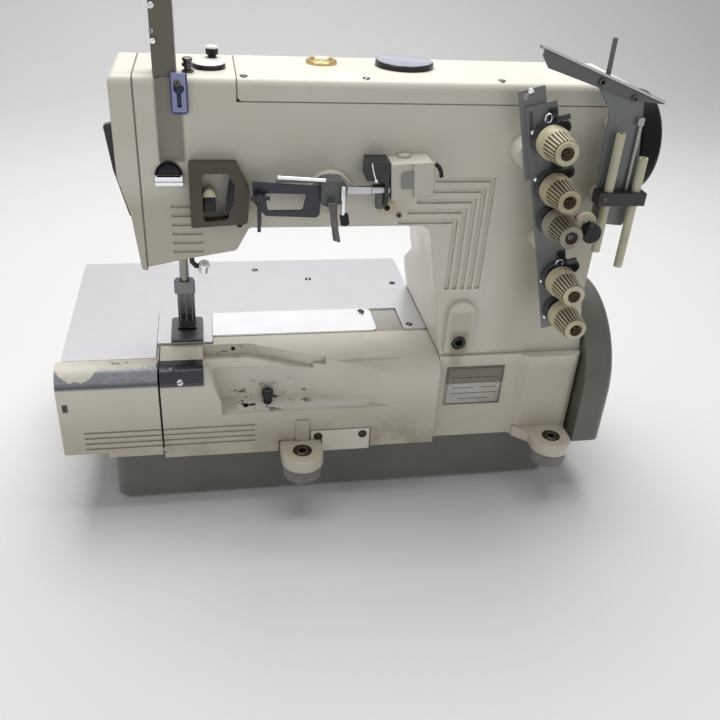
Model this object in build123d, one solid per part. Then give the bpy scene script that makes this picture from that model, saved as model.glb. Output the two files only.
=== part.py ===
from build123d import *
import os
from math import atan2, cos, degrees, pi, radians, sin

os.makedirs("parts", exist_ok=True)

# Flatbed coverstitch sewing machine head, in millimetres.
# +X runs along the arm from the needles to the handwheel, +Y away from the operator, +Z up.
# The origin is on the resting plane, plumb under the middle needle.

# Main heights
PAN_H = 60.0
BED_H = 95.0
PLATE_RISE = 2.0
THROAT_H = 133.5
ARM_H = 121.5
LID_H = 17.5
SEAM_Z = PAN_H + BED_H
BED_TOP = SEAM_Z + PLATE_RISE
ARM_UNDER = BED_TOP + THROAT_H
ARM_TOP = ARM_UNDER + ARM_H
LID_SEAM = ARM_TOP - LID_H
CREASE_Z = ARM_TOP - 41.5

# Main lengths, from the needle plumb line
FACE_W = 17.5
HEAD_SEAM_X = -27.0
HEAD_R = 47.0
HEAD_SLANT = 11.0
COLUMN_L = 213.0
COLUMN_LEAN = 25.0
ARM_END = 371.0
COLUMN_FLARE = 11.0
LID_L = 50.0
BED_L = -112.0
COLUMN_FOOT_L = COLUMN_L + COLUMN_LEAN
COLUMN_FOOT_R = ARM_END + COLUMN_FLARE
HEAD_L = HEAD_SEAM_X - FACE_W

# Main depths
ARM_FRONT = -64.0
ARM_BACK = 36.0
FRONT_LEAN = 7.0
BED_FRONT = -69.0
BED_BACK = 162.0
COLUMN_BACK = 90.0
REAR_FLARE_TOP = 192.0

# Walls and clearances
WALL = 6.0
COVER_WALL = 4.0
PLATE_T = 4.0
GAP = 0.3
RUN = 0.05
ARM_EDGE_R = 7.0
ARM_BACK_R = 20.0

# Shafts
SHAFT_R = 8.0
BUSH_WALL = 4.0
UPPER_SHAFT_Z = ARM_UNDER + 57.5
LOWER_SHAFT_Z = PAN_H + 54.0
PULLEY_R = 20.0
BELT_T = 3.0
BELT_W = 18.0
BELT_X = 306.0
BELT_TEETH = 24
WHEEL_R = 46.0
WHEEL_W = 22.0
WHEEL_X = 402.0
DRIVE_R = 50.0
COVER_R = 88.0
COVER_Y = 6.0
COVER_W = 31.0

# Needle and presser bars
BAR_R = 4.0
STROKE = 31.0
NEEDLE_GAUGE = 5.6
NEEDLE_TIP = BED_TOP + 9.0
NEEDLE_OUT = 36.0
CLAMP_H = 12.0
PRESSER_Y = 18.0
HEAD_FLOOR = BED_TOP + 99.0

# Slide plate and needle plate
STRIP_FRONT = -6.0
STRIP_BACK = 39.0
STRIP_L = -28.0
STRIP_R = 214.0
NEEDLE_PLATE_R = 24.0
SLIDE_R = 186.0
SLIDE_T = 2.4
PLATE_FRONT_L = -44.0

# Front covers
COVER_SEAM_X = -25.0
COVER_SEAM_GAP = 1.8
BAND_R = 14.0
ROLL_R = 19.0
TRAY_FLOOR = PAN_H + 47.0
TRAY_RISE = 9.0
TRAY_L = 31.0
TRAY_TIP = 191.0
SHELF_Z = SEAM_Z - 11.0
BAND_Z = PAN_H + 78.7

# Thread tensions
TENSION_STEPS = (0.0, 40.0, 71.0, 126.0, 160.0)
TENSION_TOP = (295.0, ARM_TOP - 36.5)
TENSION_TILT = 14.0
TENSION_Y = ARM_FRONT - 20.0
TENSION_PLATE_T = 2.0
KNOB_R = 12.5
KNOB_LEN = 22.0
DISC_R = 14.0
RELEASE_AT = (80.0, 23.5)
KNOB_BASE = 15.0
KNOB_FACE = KNOB_BASE + KNOB_LEN + 10.0

# Mounting lugs
LUG_R = 20.0
LUG_HOLE_R = 7.0
LUG_TOP = PAN_H + 12.0
LUG_X = (104.0, 356.0)
LUG_Y = (-86.0, 182.0)
CUSHION_H = 16.0


def block(x0, x1, y0, y1, z0, z1):
    """Box between two corners."""
    centre = Pos((x0 + x1) / 2, (y0 + y1) / 2, (z0 + z1) / 2)
    return centre * Box(x1 - x0, y1 - y0, z1 - z0)


def bar_x(x0, x1, y, z, radius):
    """Cylinder along X."""
    return Pos((x0 + x1) / 2, y, z) * Rot(0, 90, 0) * Cylinder(radius, x1 - x0)


def bar_y(y0, y1, x, z, radius):
    """Cylinder along Y."""
    return Pos(x, (y0 + y1) / 2, z) * Rot(90, 0, 0) * Cylinder(radius, y1 - y0)


def bar_z(z0, z1, x, y, radius):
    """Cylinder along Z."""
    return Pos(x, y, (z0 + z1) / 2) * Cylinder(radius, z1 - z0)


def outline(corners):
    """Closed face through corners (a, b, radius); a radius of 0 leaves the corner sharp."""
    face = Sketch() + make_face(Polyline(*[(a, b) for a, b, _ in corners], close=True))
    for a, b, radius in corners:
        if radius > 0:
            corner = face.vertices().sort_by_distance(Vector(a, b, 0))[0]
            face = fillet([corner], radius)
    return face


def along_x(corners, x0, x1):
    """Outline in (Y, Z) drawn out along X."""
    return extrude(Plane.YZ.offset(x0) * outline(corners), amount=x1 - x0)


def along_y(corners, y0, y1):
    """Outline in (X, Z) drawn out along Y."""
    return extrude(Plane.XZ.offset(-y1) * outline(corners), amount=y1 - y0)


def along_z(corners, z0, z1):
    """Outline in (X, Y) drawn up along Z."""
    return extrude(Plane.XY.offset(z0) * outline(corners), amount=z1 - z0)


def turned(profile, centre, axis_turn):
    """Solid of revolution: profile in (radius, height), its axis turned from Z to its place."""
    body = revolve(Plane.XZ * outline(profile), Axis.Z)
    return Pos(*centre) * axis_turn * body


TO_X = Rot(0, 90, 0)
TO_FRONT = Rot(90, 0, 0)
UPRIGHT = Rot(0, 0, 0)


def save(node, part):
    """Write one sub-part as STEP."""
    export_step(part, f"parts/{node}.step")


def front_y(z):
    """Y of the arm's front face: upright above the crease, leaning in below it."""
    drop = max(CREASE_Z - z, 0.0)
    return ARM_FRONT + FRONT_LEAN * drop / (CREASE_Z - SEAM_Z)


FRONT_TILT = degrees(atan2(FRONT_LEAN, CREASE_Z - SEAM_Z))


def on_front(x, z, width, height, depth, lean=0.0):
    """Groove cutter lying in the arm's front face, cut to the given depth."""
    place = Location((x, front_y(z), z), (FRONT_TILT, lean, 0))
    return place * Box(width, 2 * depth, height)


# Arm, head and column

HEAD_MID_X = 12.0
HEAD_MID_RISE = 8.0
HEAD_R_RISE = 14.0
FLUTES = 5
FLUTE_STEP_X = 7.2
FLUTE_STEP_Z = 9.4
FLUTE_W = 4.0
FLUTE_DEPTH = 1.6
FLUTE_TOP = ARM_UNDER + 41.0
FLUTE_L = COLUMN_L + 1.0
FLUTE_SHORTEST = 24.0
FLUTE_R = FLUTE_L + FLUTE_SHORTEST + (FLUTES - 1) * FLUTE_STEP_X
BOSS_Z = PAN_H + 155.0
BOSS_W = 26.0
BOSS_X = COLUMN_FOOT_L + BOSS_W / 2 + 2.0
BOSS_HOLE_R = 7.0
BOSS_HOLE_Z = SEAM_Z + 17.0
HEAD_RIBS = 6
HEAD_RIB_STEP = 8.0
POCKET_X = -4.5
POCKET_R = 10.7
POCKET_Z = ARM_TOP - 76.0
THREAD_GROOVE_R = 11.0
WEB_T = 8.0
WEB_X = 62.0
BAR_WEB_Z = HEAD_FLOOR + 74.0
BAR_WEB_R = 7.5
WHEEL_BOSS_R = 25.0
WHEEL_BOSS_W = 10.0
STAND_X = ARM_END - 11.0
WIPER_X = 124.0
WIPER_Z = ARM_UNDER + 32.0
WIPER_BOSS_R = 19.0
TAKEUP_X = -3.0
TAKEUP_Y = -52.0
TAKEUP_R = 3.0
GUARD_TOP = ARM_TOP + 86.0
GUARD_HALF_W = 8.5
OIL_CAP_X = 191.0
OIL_CAP_Y = -10.0
OIL_CAP_R = 24.5
SIGHT_X = 122.0
SIGHT_Y = -4.0
SIGHT_R = 13.0
HEAD_PLUG_X = 30.0
HEAD_PLUG_Y = -30.0
HEAD_PLUG_R = 13.0
PRESSURE_X = 33.0
PRESSURE_Y = 8.0
PRESSURE_R = 7.0
LIFTER_X = HEAD_SEAM_X + 8.0
LIFTER_Z = HEAD_FLOOR + 60.0
LIFTER_STUD_R = 4.0
BUSH_R = SHAFT_R + BUSH_WALL
BAR_BUSH_R = BAR_R + 3.0


def arm_section(inset):
    """Section of arm and column in (Y, Z), drawn in by inset."""
    return [
        (ARM_FRONT + inset, ARM_TOP - inset, ARM_EDGE_R),
        (ARM_FRONT + inset, CREASE_Z, 0),
        (ARM_FRONT + FRONT_LEAN + inset, SEAM_Z, 0),
        (ARM_BACK - inset, SEAM_Z, 0),
        (ARM_BACK - inset, ARM_TOP - inset, ARM_BACK_R - inset),
    ]


def arm_front_view():
    """Front outline of head, arm and column in (X, Z)."""
    return [
        (HEAD_SEAM_X, ARM_TOP, 0),
        (ARM_END, ARM_TOP, 0),
        (ARM_END, SEAM_Z + 60, 60),
        (COLUMN_FOOT_R, SEAM_Z, 0),
        (COLUMN_FOOT_L, SEAM_Z, 0),
        (COLUMN_L, ARM_UNDER, 12),
        (HEAD_R + HEAD_SLANT, ARM_UNDER, 4),
        (HEAD_R, HEAD_FLOOR + HEAD_R_RISE, 4),
        (HEAD_MID_X, HEAD_FLOOR + HEAD_MID_RISE, 0),
        (HEAD_SEAM_X, HEAD_FLOOR, 0),
    ]


def arm_hollow():
    """Room inside head, arm and column, open at the left end, under the lid and at the foot."""
    inside = along_y([
        (HEAD_SEAM_X - 1, ARM_TOP, 0),
        (ARM_END - WALL, ARM_TOP, 0),
        (ARM_END - WALL, SEAM_Z - 1, 0),
        (COLUMN_FOOT_L + WALL, SEAM_Z - 1, 0),
        (COLUMN_L + WALL, ARM_UNDER + WALL, 0),
        (HEAD_R, ARM_UNDER + WALL, 0),
        (HEAD_R - WALL, HEAD_FLOOR + HEAD_R_RISE + WALL, 0),
        (HEAD_SEAM_X - 1, HEAD_FLOOR + WALL + 3, 0),
    ], ARM_FRONT, ARM_BACK)
    return along_x(arm_section(WALL), HEAD_SEAM_X - 1, ARM_END) & inside


def arm_webs():
    """Shaft bearing web across the arm and the bar guide web in the head."""
    shaft_web = block(WEB_X, WEB_X + WEB_T, ARM_FRONT + 1, ARM_BACK - 1, ARM_UNDER + 1, LID_SEAM - 4)
    bar_web = block(HEAD_SEAM_X + 4, BAR_WEB_R, ARM_FRONT + 2, ARM_BACK - 2, BAR_WEB_Z, BAR_WEB_Z + WEB_T)
    return shaft_web + bar_web


def column_rear():
    """Deep lower part of the column behind the arm's back face."""
    side = along_x([
        (0, SEAM_Z, 0),
        (COLUMN_BACK, SEAM_Z, 0),
        (COLUMN_BACK, REAR_FLARE_TOP, 26),
        (ARM_BACK, REAR_FLARE_TOP + 34, 0),
        (0, REAR_FLARE_TOP + 34, 0),
    ], COLUMN_L, COLUMN_FOOT_R)
    return side & along_y(arm_front_view(), -1, COLUMN_BACK + 1)


def flutes():
    """Nested L-shaped grooves where arm and column meet."""
    cuts = Part()
    bottom = BOSS_Z + 12
    for i in range(FLUTES):
        z = FLUTE_TOP - i * FLUTE_STEP_Z
        x = FLUTE_R - i * FLUTE_STEP_X
        left = FLUTE_L - i * FLUTE_STEP_X
        cuts += on_front((left + x) / 2, z, x - left, FLUTE_W, FLUTE_DEPTH)
        cuts += on_front(x - FLUTE_W / 2, (z + bottom) / 2, FLUTE_W, z - bottom, FLUTE_DEPTH)
    return cuts


def head_details():
    """Thread groove, thread pocket and ribs cut in the head's front."""
    groove_depth = 3.5
    axis_y = ARM_FRONT - THREAD_GROOVE_R + groove_depth
    cuts = bar_z(POCKET_Z + 4, ARM_TOP + 1, POCKET_X + 1, axis_y, THREAD_GROOVE_R)
    pocket = bar_y(ARM_FRONT - 2, ARM_FRONT + WALL - 1, POCKET_X, POCKET_Z, POCKET_R)
    above = block(POCKET_X - 20, POCKET_X + 20, ARM_FRONT - 5, 0, POCKET_Z, POCKET_Z + 20)
    cuts += pocket & above
    for i in range(HEAD_RIBS):
        cuts += on_front(POCKET_X + 12, HEAD_FLOOR + 14 + i * HEAD_RIB_STEP, 24, 2.4, 1.0)
    return cuts


def arm_bosses():
    """Cast bosses on the arm's front, column front and right end."""
    bosses = bar_y(TENSION_Y, ARM_FRONT + 4, *tension_point(14, -12), 12)
    bosses += bar_y(TENSION_Y - TENSION_PLATE_T, ARM_FRONT + 9, *tension_point(98, -5), 9)
    for z in (ARM_TOP - 30, ARM_UNDER + 30):
        bosses += bar_y(TENSION_Y, ARM_FRONT + 4, STAND_X, z, 7)
    ring = turned([(11, 0, 0), (WIPER_BOSS_R, 0, 0), (WIPER_BOSS_R, 9, 2), (11, 9, 0)],
                  (WIPER_X, ARM_FRONT + 3, WIPER_Z), TO_FRONT)
    wheel_boss = bar_x(ARM_END - 1, ARM_END + WHEEL_BOSS_W, 0, UPPER_SHAFT_Z, WHEEL_BOSS_R)
    pad = along_y([
        (BOSS_X - BOSS_W / 2, SEAM_Z + 6, 0),
        (BOSS_X + BOSS_W / 2, SEAM_Z + 6, 0),
        (BOSS_X + BOSS_W / 2, BOSS_Z, BOSS_W / 2 - 0.1),
        (BOSS_X - BOSS_W / 2, BOSS_Z, BOSS_W / 2 - 0.1),
    ], ARM_FRONT, ARM_FRONT + 12)
    return bosses + ring + wheel_boss + pad


def tension_point(along, across):
    """Point (X, Z) on the tilted tension plate, from the top tension's centre."""
    tilt = radians(TENSION_TILT)
    x = TENSION_TOP[0] + along * sin(tilt) + across * cos(tilt)
    z = TENSION_TOP[1] - along * cos(tilt) + across * sin(tilt)
    return x, z


def arm_casting():
    """Head, arm and column as one hollow casting."""
    body = along_x(arm_section(0), HEAD_SEAM_X, COLUMN_FOOT_R)
    body &= along_y(arm_front_view(), ARM_FRONT - 1, ARM_BACK + 1)
    body -= flutes()
    body += column_rear() + arm_bosses()
    body -= bar_y(ARM_FRONT - 1, ARM_FRONT + 6, BOSS_X, BOSS_HOLE_Z, BOSS_HOLE_R)
    body -= arm_hollow()
    inner = along_x(arm_section(1), HEAD_SEAM_X, ARM_END)
    body += arm_webs() & inner
    body -= block(LID_L, ARM_END + 1, ARM_FRONT - 1, ARM_BACK + 1, LID_SEAM, ARM_TOP + 1)
    body -= head_details()
    body -= bar_x(WEB_X - 1, WEB_X + WEB_T + 1, 0, UPPER_SHAFT_Z, BUSH_R)
    body -= bar_x(ARM_END - WALL - 1, ARM_END + WHEEL_BOSS_W + 1, 0, UPPER_SHAFT_Z, BUSH_R)
    for y in (0, PRESSER_Y):
        body -= bar_z(HEAD_FLOOR - 2, BAR_WEB_Z + WEB_T + 1, 0, y, BAR_BUSH_R)
    body -= bar_z(ARM_TOP - WALL - 6, ARM_TOP + 1, TAKEUP_X, TAKEUP_Y, TAKEUP_R + 1)
    body -= bar_y(ARM_BACK - WALL - 1, ARM_BACK + 1, LIFTER_X, LIFTER_Z, LIFTER_STUD_R + RUN)
    body -= bar_z(ARM_TOP - WALL - 1, ARM_TOP + 1, HEAD_PLUG_X, HEAD_PLUG_Y, HEAD_PLUG_R - 3)
    body -= bar_z(ARM_TOP - WALL - 1, ARM_TOP + 1, PRESSURE_X, PRESSURE_Y, 4)
    body -= bar_y(ARM_FRONT - 9, ARM_FRONT + WALL + 4, WIPER_X, WIPER_Z, 5 + RUN)
    return body


def top_lid():
    """Hollow lid over the arm with openings for the oil sight and the oil cap."""
    side = along_y([
        (LID_L, ARM_TOP, 0),
        (ARM_END, ARM_TOP, 0),
        (ARM_END, LID_SEAM, 0),
        (LID_L, LID_SEAM, 5),
    ], ARM_FRONT - 1, ARM_BACK + 1)
    lid = along_x(arm_section(0), LID_L, ARM_END) & side
    room = along_x([
        (ARM_FRONT + COVER_WALL, LID_SEAM - 8, 0),
        (ARM_BACK - COVER_WALL, LID_SEAM - 8, 0),
        (ARM_BACK - COVER_WALL, ARM_TOP - COVER_WALL, ARM_BACK_R - COVER_WALL),
        (ARM_FRONT + COVER_WALL, ARM_TOP - COVER_WALL, ARM_EDGE_R - COVER_WALL),
    ], LID_L + COVER_WALL, ARM_END - COVER_WALL)
    lid -= room
    lid -= bar_z(ARM_TOP - COVER_WALL - 1, ARM_TOP + 1, SIGHT_X, SIGHT_Y, SIGHT_R - 3)
    lid -= bar_z(ARM_TOP - COVER_WALL - 1, ARM_TOP + 1, OIL_CAP_X, OIL_CAP_Y, OIL_CAP_R - 5)
    return lid


def face_cover():
    """Cover on the head's left end, narrowing downwards, hollow towards the head."""
    drop = ARM_TOP - HEAD_FLOOR
    front = [
        (HEAD_L, ARM_TOP, 5),
        (HEAD_SEAM_X, ARM_TOP, 0),
        (HEAD_SEAM_X, HEAD_FLOOR - 3, 0),
        (HEAD_L + 13, HEAD_FLOOR - 3, 3),
        (HEAD_L + 8, HEAD_FLOOR + 0.3 * drop, 12),
        (HEAD_L, HEAD_FLOOR + 0.5 * drop, 12),
    ]
    section = arm_section(0)
    section[2] = (front_y(HEAD_FLOOR - 4), HEAD_FLOOR - 4, 0)
    section[3] = (ARM_BACK, HEAD_FLOOR - 4, 0)
    cover = along_x(section, HEAD_L - 1, HEAD_SEAM_X) & along_y(front, ARM_FRONT - 1, ARM_BACK + 1)
    room = along_y([
        (HEAD_L + 5, ARM_TOP - 6, 0),
        (HEAD_SEAM_X + 1, ARM_TOP - 6, 0),
        (HEAD_SEAM_X + 1, HEAD_FLOOR + 5, 0),
        (HEAD_L + 13.5, HEAD_FLOOR + 5, 0),
        (HEAD_L + 5, HEAD_FLOOR + 0.5 * drop, 0),
    ], ARM_FRONT + 6, ARM_BACK - 8)
    return cover - room


# Bed

BED_DECK = BED_TOP - PLATE_T
PEDESTAL_FRONT = ARM_FRONT + 4.0
BED_STEP_X = BED_L + 35.0
BED_STEP_Z = PAN_H + 9.5
LOOPER_X = -38.0
LOOPER_Z = BED_TOP - 62.0
LOOPER_SHAFT_R = 6.0
LOOPER_BOSS_Y = (40.0, 70.0)
FEED_GUIDE_Y = (84.0, 94.0)
FEED_Z = BED_TOP - 22.0
FEED_BAR_W = 5.0
FEED_BAR_H = 6.0
FEED_BARS = ((0.0, FEED_Z), (10.5, FEED_Z - 8.0))
HINGE_R = 2.5
HINGE_LUG_R = 4.0
HINGE_LUG_X = (BED_STEP_X + 7.0, BED_STEP_X + 13.0)
COVER_DEPTH = 12.0
HINGE_Y = BED_FRONT + (COVER_DEPTH - GAP) / 2
HINGE_Z = PAN_H + 1.0 + (COVER_DEPTH - GAP) / 2
BASE_H = 28.0
TRAY_BACK = BED_FRONT + 29.0
SHELF_R = 126.0


def bed_casting():
    """Hollow bed with the column's pedestal, bearing webs and four mounting lugs."""
    bed = along_z([
        (BED_L, BED_FRONT + COVER_DEPTH, 0),
        (COLUMN_FOOT_L + 1, BED_FRONT + COVER_DEPTH, 0),
        (COLUMN_FOOT_L + 1, BED_BACK, 0),
        (BED_L, BED_BACK, 3),
    ], PAN_H, BED_DECK)
    pedestal = along_z([
        (COLUMN_FOOT_L, PEDESTAL_FRONT, 0),
        (COLUMN_FOOT_R, PEDESTAL_FRONT, 10),
        (COLUMN_FOOT_R, COLUMN_BACK, 12),
        (COLUMN_FOOT_L, COLUMN_BACK, 0),
    ], PAN_H, SEAM_Z)
    bulge = along_z([
        (ARM_END - 55, PEDESTAL_FRONT + 2, 0),
        (ARM_END - 44, PEDESTAL_FRONT - 7, 6),
        (COLUMN_FOOT_R, PEDESTAL_FRONT - 7, 10),
        (COLUMN_FOOT_R, PEDESTAL_FRONT + 20, 0),
    ], PAN_H, SEAM_Z)
    base = block(COLUMN_FOOT_L, COLUMN_FOOT_R, COLUMN_BACK - 1, BED_BACK, PAN_H, PAN_H + BASE_H)
    hinge_lug = block(*HINGE_LUG_X, HINGE_Y, BED_FRONT + COVER_DEPTH + 1, HINGE_Z - 3.5, HINGE_Z + 3.5)
    hinge_lug += bar_x(*HINGE_LUG_X, HINGE_Y, HINGE_Z, HINGE_LUG_R)
    body = bed + pedestal + bulge + base + hinge_lug + mounting_lugs()
    body -= block(BED_L + WALL, COLUMN_FOOT_L, BED_FRONT + COVER_DEPTH + WALL, BED_BACK - WALL,
                  PAN_H - 1, BED_DECK - WALL)
    body -= block(COLUMN_FOOT_L - 1, COLUMN_FOOT_R - WALL, PEDESTAL_FRONT + WALL,
                  COLUMN_BACK - WALL, PAN_H - 1, SEAM_Z + 1)
    body -= block(COLUMN_FOOT_L - 1, COLUMN_FOOT_R - WALL, COLUMN_BACK - WALL - 1, BED_BACK - WALL,
                  PAN_H - 1, PAN_H + BASE_H - WALL)
    body -= block(BED_L + 16, COLUMN_FOOT_L - 20, BED_FRONT, BED_FRONT + 19, PAN_H + 16, BED_DECK - WALL)
    body -= bar_x(HINGE_LUG_X[0] - 1, HINGE_LUG_X[1] + 1, HINGE_Y, HINGE_Z, HINGE_R)
    body += bed_overhang()
    body -= block(BED_L - 1, BED_STEP_X, BED_FRONT, BED_BACK + 1, PAN_H - 1, BED_STEP_Z)
    body -= block(STRIP_L + 5, NEEDLE_PLATE_R - 5, FRONT_DOG_Y[0] - FEED_TRAVEL - 1, STRIP_BACK - 5,
                  BED_DECK - WALL - 1, BED_DECK + 1)
    body += bed_bearings()
    body -= block(COVER_SEAM_X - 1, TRAY_TIP + 10, BED_FRONT + 11, TRAY_BACK, TRAY_FLOOR - 9, BED_DECK + 1)
    body -= block(COVER_SEAM_X - 1, SHELF_R, TRAY_BACK - 1, STRIP_FRONT - 14, SHELF_Z - 6, BED_DECK + 1)
    for x in (100.0, COLUMN_FOOT_R - WALL):
        body -= bar_x(x - 1, x + WALL + 3, 0, LOWER_SHAFT_Z, BUSH_R)
    body -= bar_y(LOOPER_BOSS_Y[0] - 1, LOOPER_BOSS_Y[1] + 1, LOOPER_X, LOOPER_Z, LOOPER_SHAFT_R + RUN)
    for x, z in FEED_BARS:
        body -= block(x - FEED_BAR_W / 2 - GAP, x + FEED_BAR_W / 2 + GAP, FEED_GUIDE_Y[0] - 1,
                      FEED_GUIDE_Y[1] + 1, z - GAP, z + FEED_BAR_H + GAP)
    for x in LUG_X:
        for y in LUG_Y:
            body -= bar_z(PAN_H - 1, LUG_TOP + 1, x, y, LUG_HOLE_R)
    return body


def bed_overhang():
    """Floor of the bed's left end, which stands clear of the table, and the step down to the pan."""
    front, back = BED_FRONT + COVER_DEPTH + 1, BED_BACK - 1
    floor = block(BED_L + 1, BED_STEP_X + WALL, front, back, BED_STEP_Z, BED_STEP_Z + WALL)
    return floor + block(BED_STEP_X, BED_STEP_X + WALL, front, back, PAN_H, BED_STEP_Z + 1)


def bed_bearings():
    """Bearing web of the lower shaft, looper shaft boss and feed bar guide inside the bed."""
    web = block(100, 100 + WEB_T, BED_FRONT + 17, BED_BACK - 4, PAN_H + 6, BED_DECK - 4)
    boss = block(LOOPER_X - 12, LOOPER_X + 12, LOOPER_BOSS_Y[0], LOOPER_BOSS_Y[1],
                 LOOPER_Z - 12, BED_DECK - 4)
    guide = block(-10, 18, FEED_GUIDE_Y[0], FEED_GUIDE_Y[1], FEED_Z - 13, BED_DECK - 4)
    return web + boss + guide


def mounting_lugs():
    """Round lugs that the head is bolted down by, each on a web from the bed."""
    lugs = Part()
    front, back = LUG_Y
    for x in LUG_X:
        lugs += lug_outline(x, front, BED_FRONT + 30)
        lugs += lug_outline(x, back, BED_BACK - 4)
    flare = along_z([
        (LUG_X[1] - LUG_R - 14, PEDESTAL_FRONT + 4, 0),
        (LUG_X[1] - LUG_R - 14, PEDESTAL_FRONT - 6, 0),
        (LUG_X[1] - LUG_R + 2, front + 6, 12),
        (LUG_X[1], front + 6, 0),
        (LUG_X[1], PEDESTAL_FRONT + 4, 0),
    ], PAN_H, LUG_TOP)
    return lugs + flare


def lug_outline(x, y, root_y):
    """One lug, its round end at y and its web reaching back to root_y, with a softened top edge."""
    lug = bar_z(PAN_H, LUG_TOP, x, y, LUG_R)
    lug += block(x - LUG_R, x + LUG_R, min(y, root_y), max(y, root_y), PAN_H, LUG_TOP)
    top = lug.faces().sort_by(Axis.Z)[-1]
    return fillet(top.edges().filter_by(GeomType.CIRCLE), 3)


def foot_cushions():
    """Rubber rings under the four mounting lugs."""
    rings = []
    for x in LUG_X:
        for y in LUG_Y:
            ring = turned([
                (LUG_HOLE_R + 0.5, 0, 0),
                (LUG_R - 4, 0, 0),
                (LUG_R - 2, 2, 0),
                (LUG_R - 1, CUSHION_H - 1, 0),
                (LUG_R - 2, CUSHION_H, 0),
                (LUG_HOLE_R + 0.5, CUSHION_H, 0),
            ], (x, y, PAN_H - CUSHION_H), UPRIGHT)
            rings.append(ring)
    return Compound(children=rings)


PAN_L = BED_STEP_X + 1.0
PAN_R = COLUMN_FOOT_R - 8.0
PAN_FRONT = BED_FRONT + 14.0
PAN_BACK = BED_BACK - 6.0
PAN_WALL = 3.0


def oil_pan():
    """Oil pan under the bed, a pressed tray with rounded corners."""
    tray = block(PAN_L, PAN_R, PAN_FRONT, PAN_BACK, 0, PAN_H)
    upright = tray.edges().filter_by(Axis.Z)
    tray = fillet(upright, 14)
    tray = fillet(tray.faces().sort_by(Axis.Z)[0].edges(), 6)
    room = block(PAN_L + PAN_WALL, PAN_R - PAN_WALL, PAN_FRONT + PAN_WALL, PAN_BACK - PAN_WALL,
                 PAN_WALL, PAN_H + 1)
    room = fillet(room.edges().filter_by(Axis.Z), 14 - PAN_WALL)
    return tray - room


def cloth_plate():
    """Polished plate on the bed with a notch for the needle plate and the slide plate."""
    plate = along_z([
        (BED_L, BED_BACK, 3),
        (COLUMN_FOOT_L - 1, BED_BACK, 3),
        (COLUMN_FOOT_L - 1, STRIP_FRONT, 0),
        (STRIP_R, STRIP_FRONT, 0),
        (STRIP_R, STRIP_BACK + GAP, 1),
        (STRIP_L - GAP, STRIP_BACK + GAP, 0),
        (STRIP_L - GAP, PLATE_FRONT_L, 0),
        (BED_L, PLATE_FRONT_L, 3),
    ], BED_DECK, BED_TOP)
    return plate


def needle_plate():
    """Plate around the needles with the needle slot and slots for both feed dogs."""
    plate = block(STRIP_L, NEEDLE_PLATE_R - GAP, STRIP_FRONT - 12, STRIP_BACK, BED_DECK, BED_TOP)
    plate -= block(-NEEDLE_GAUGE - 2.5, NEEDLE_GAUGE + 2.5, -1.6, 1.6, BED_DECK - 1, BED_TOP + 1)
    for x in DOG_ROWS:
        for front, back in (MAIN_DOG_Y, FRONT_DOG_Y):
            plate -= block(x - 2.2, x + 2.2, front - FEED_TRAVEL - DOG_GAP, back + FEED_TRAVEL + DOG_GAP,
                           BED_DECK - 1, BED_TOP + 1)
    return plate


def slide_plate():
    """Long strip with a rounded end that slides aside over the bed, lying on a fixed ledge."""
    strip = along_z([
        (NEEDLE_PLATE_R, STRIP_BACK, 0),
        (SLIDE_R, STRIP_BACK, 6),
        (SLIDE_R, STRIP_FRONT, 4),
        (NEEDLE_PLATE_R, STRIP_FRONT, 0),
    ], BED_TOP - SLIDE_T, BED_TOP)
    screw = turned([(0, 0, 0), (3.6, 0, 0), (3.6, 1.6, 0.5), (0, 1.6, 0)],
                   (SLIDE_R - 11, STRIP_BACK - 8, BED_TOP), UPRIGHT)
    return strip + screw


def slide_ledge():
    """Ledge in the notch that the slide plate runs on."""
    return block(NEEDLE_PLATE_R, STRIP_R - GAP, STRIP_FRONT, STRIP_BACK, BED_DECK,
                 BED_TOP - SLIDE_T - 0.1)


# Front covers of the bed

RIBS = 4
RIB_STEP = 6.1
RIB_Z = PAN_H + 15.0
BUTTON_X = 73.0
BUTTON_Y = -56.0
BUTTON_R = 5.5
BUTTON_STEM_R = 4.0
BUTTON_TRAVEL = 3.0
LATCH_X = (113.0, 173.0)
LATCH_Z = (PAN_H - 2.5, PAN_H + 23.0)


def cover_section(inset):
    """Section of the front covers in (Y, Z), with a rolled top edge."""
    return [
        (BED_FRONT + inset, PAN_H, 0),
        (BED_FRONT + COVER_DEPTH, PAN_H, 0),
        (BED_FRONT + COVER_DEPTH, BED_DECK, 0),
        (STRIP_FRONT - 14, BED_DECK, 0),
        (STRIP_FRONT - 14, SEAM_Z - inset, 0),
        (BED_FRONT + inset, SEAM_Z - inset, ROLL_R - inset),
    ]


def rib_cuts(x0, x1):
    """Shallow horizontal grooves low on the front covers."""
    cuts = Part()
    for i in range(RIBS):
        z = RIB_Z + i * RIB_STEP
        cuts += block(x0, x1, BED_FRONT - 1, BED_FRONT + 1, z - 0.9, z + 0.9)
    return cuts


def tray_floor_z(y):
    """Height of the tray's floor, which rises away from the operator."""
    return TRAY_FLOOR + TRAY_RISE * (y - BED_FRONT) / 25.0


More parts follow.
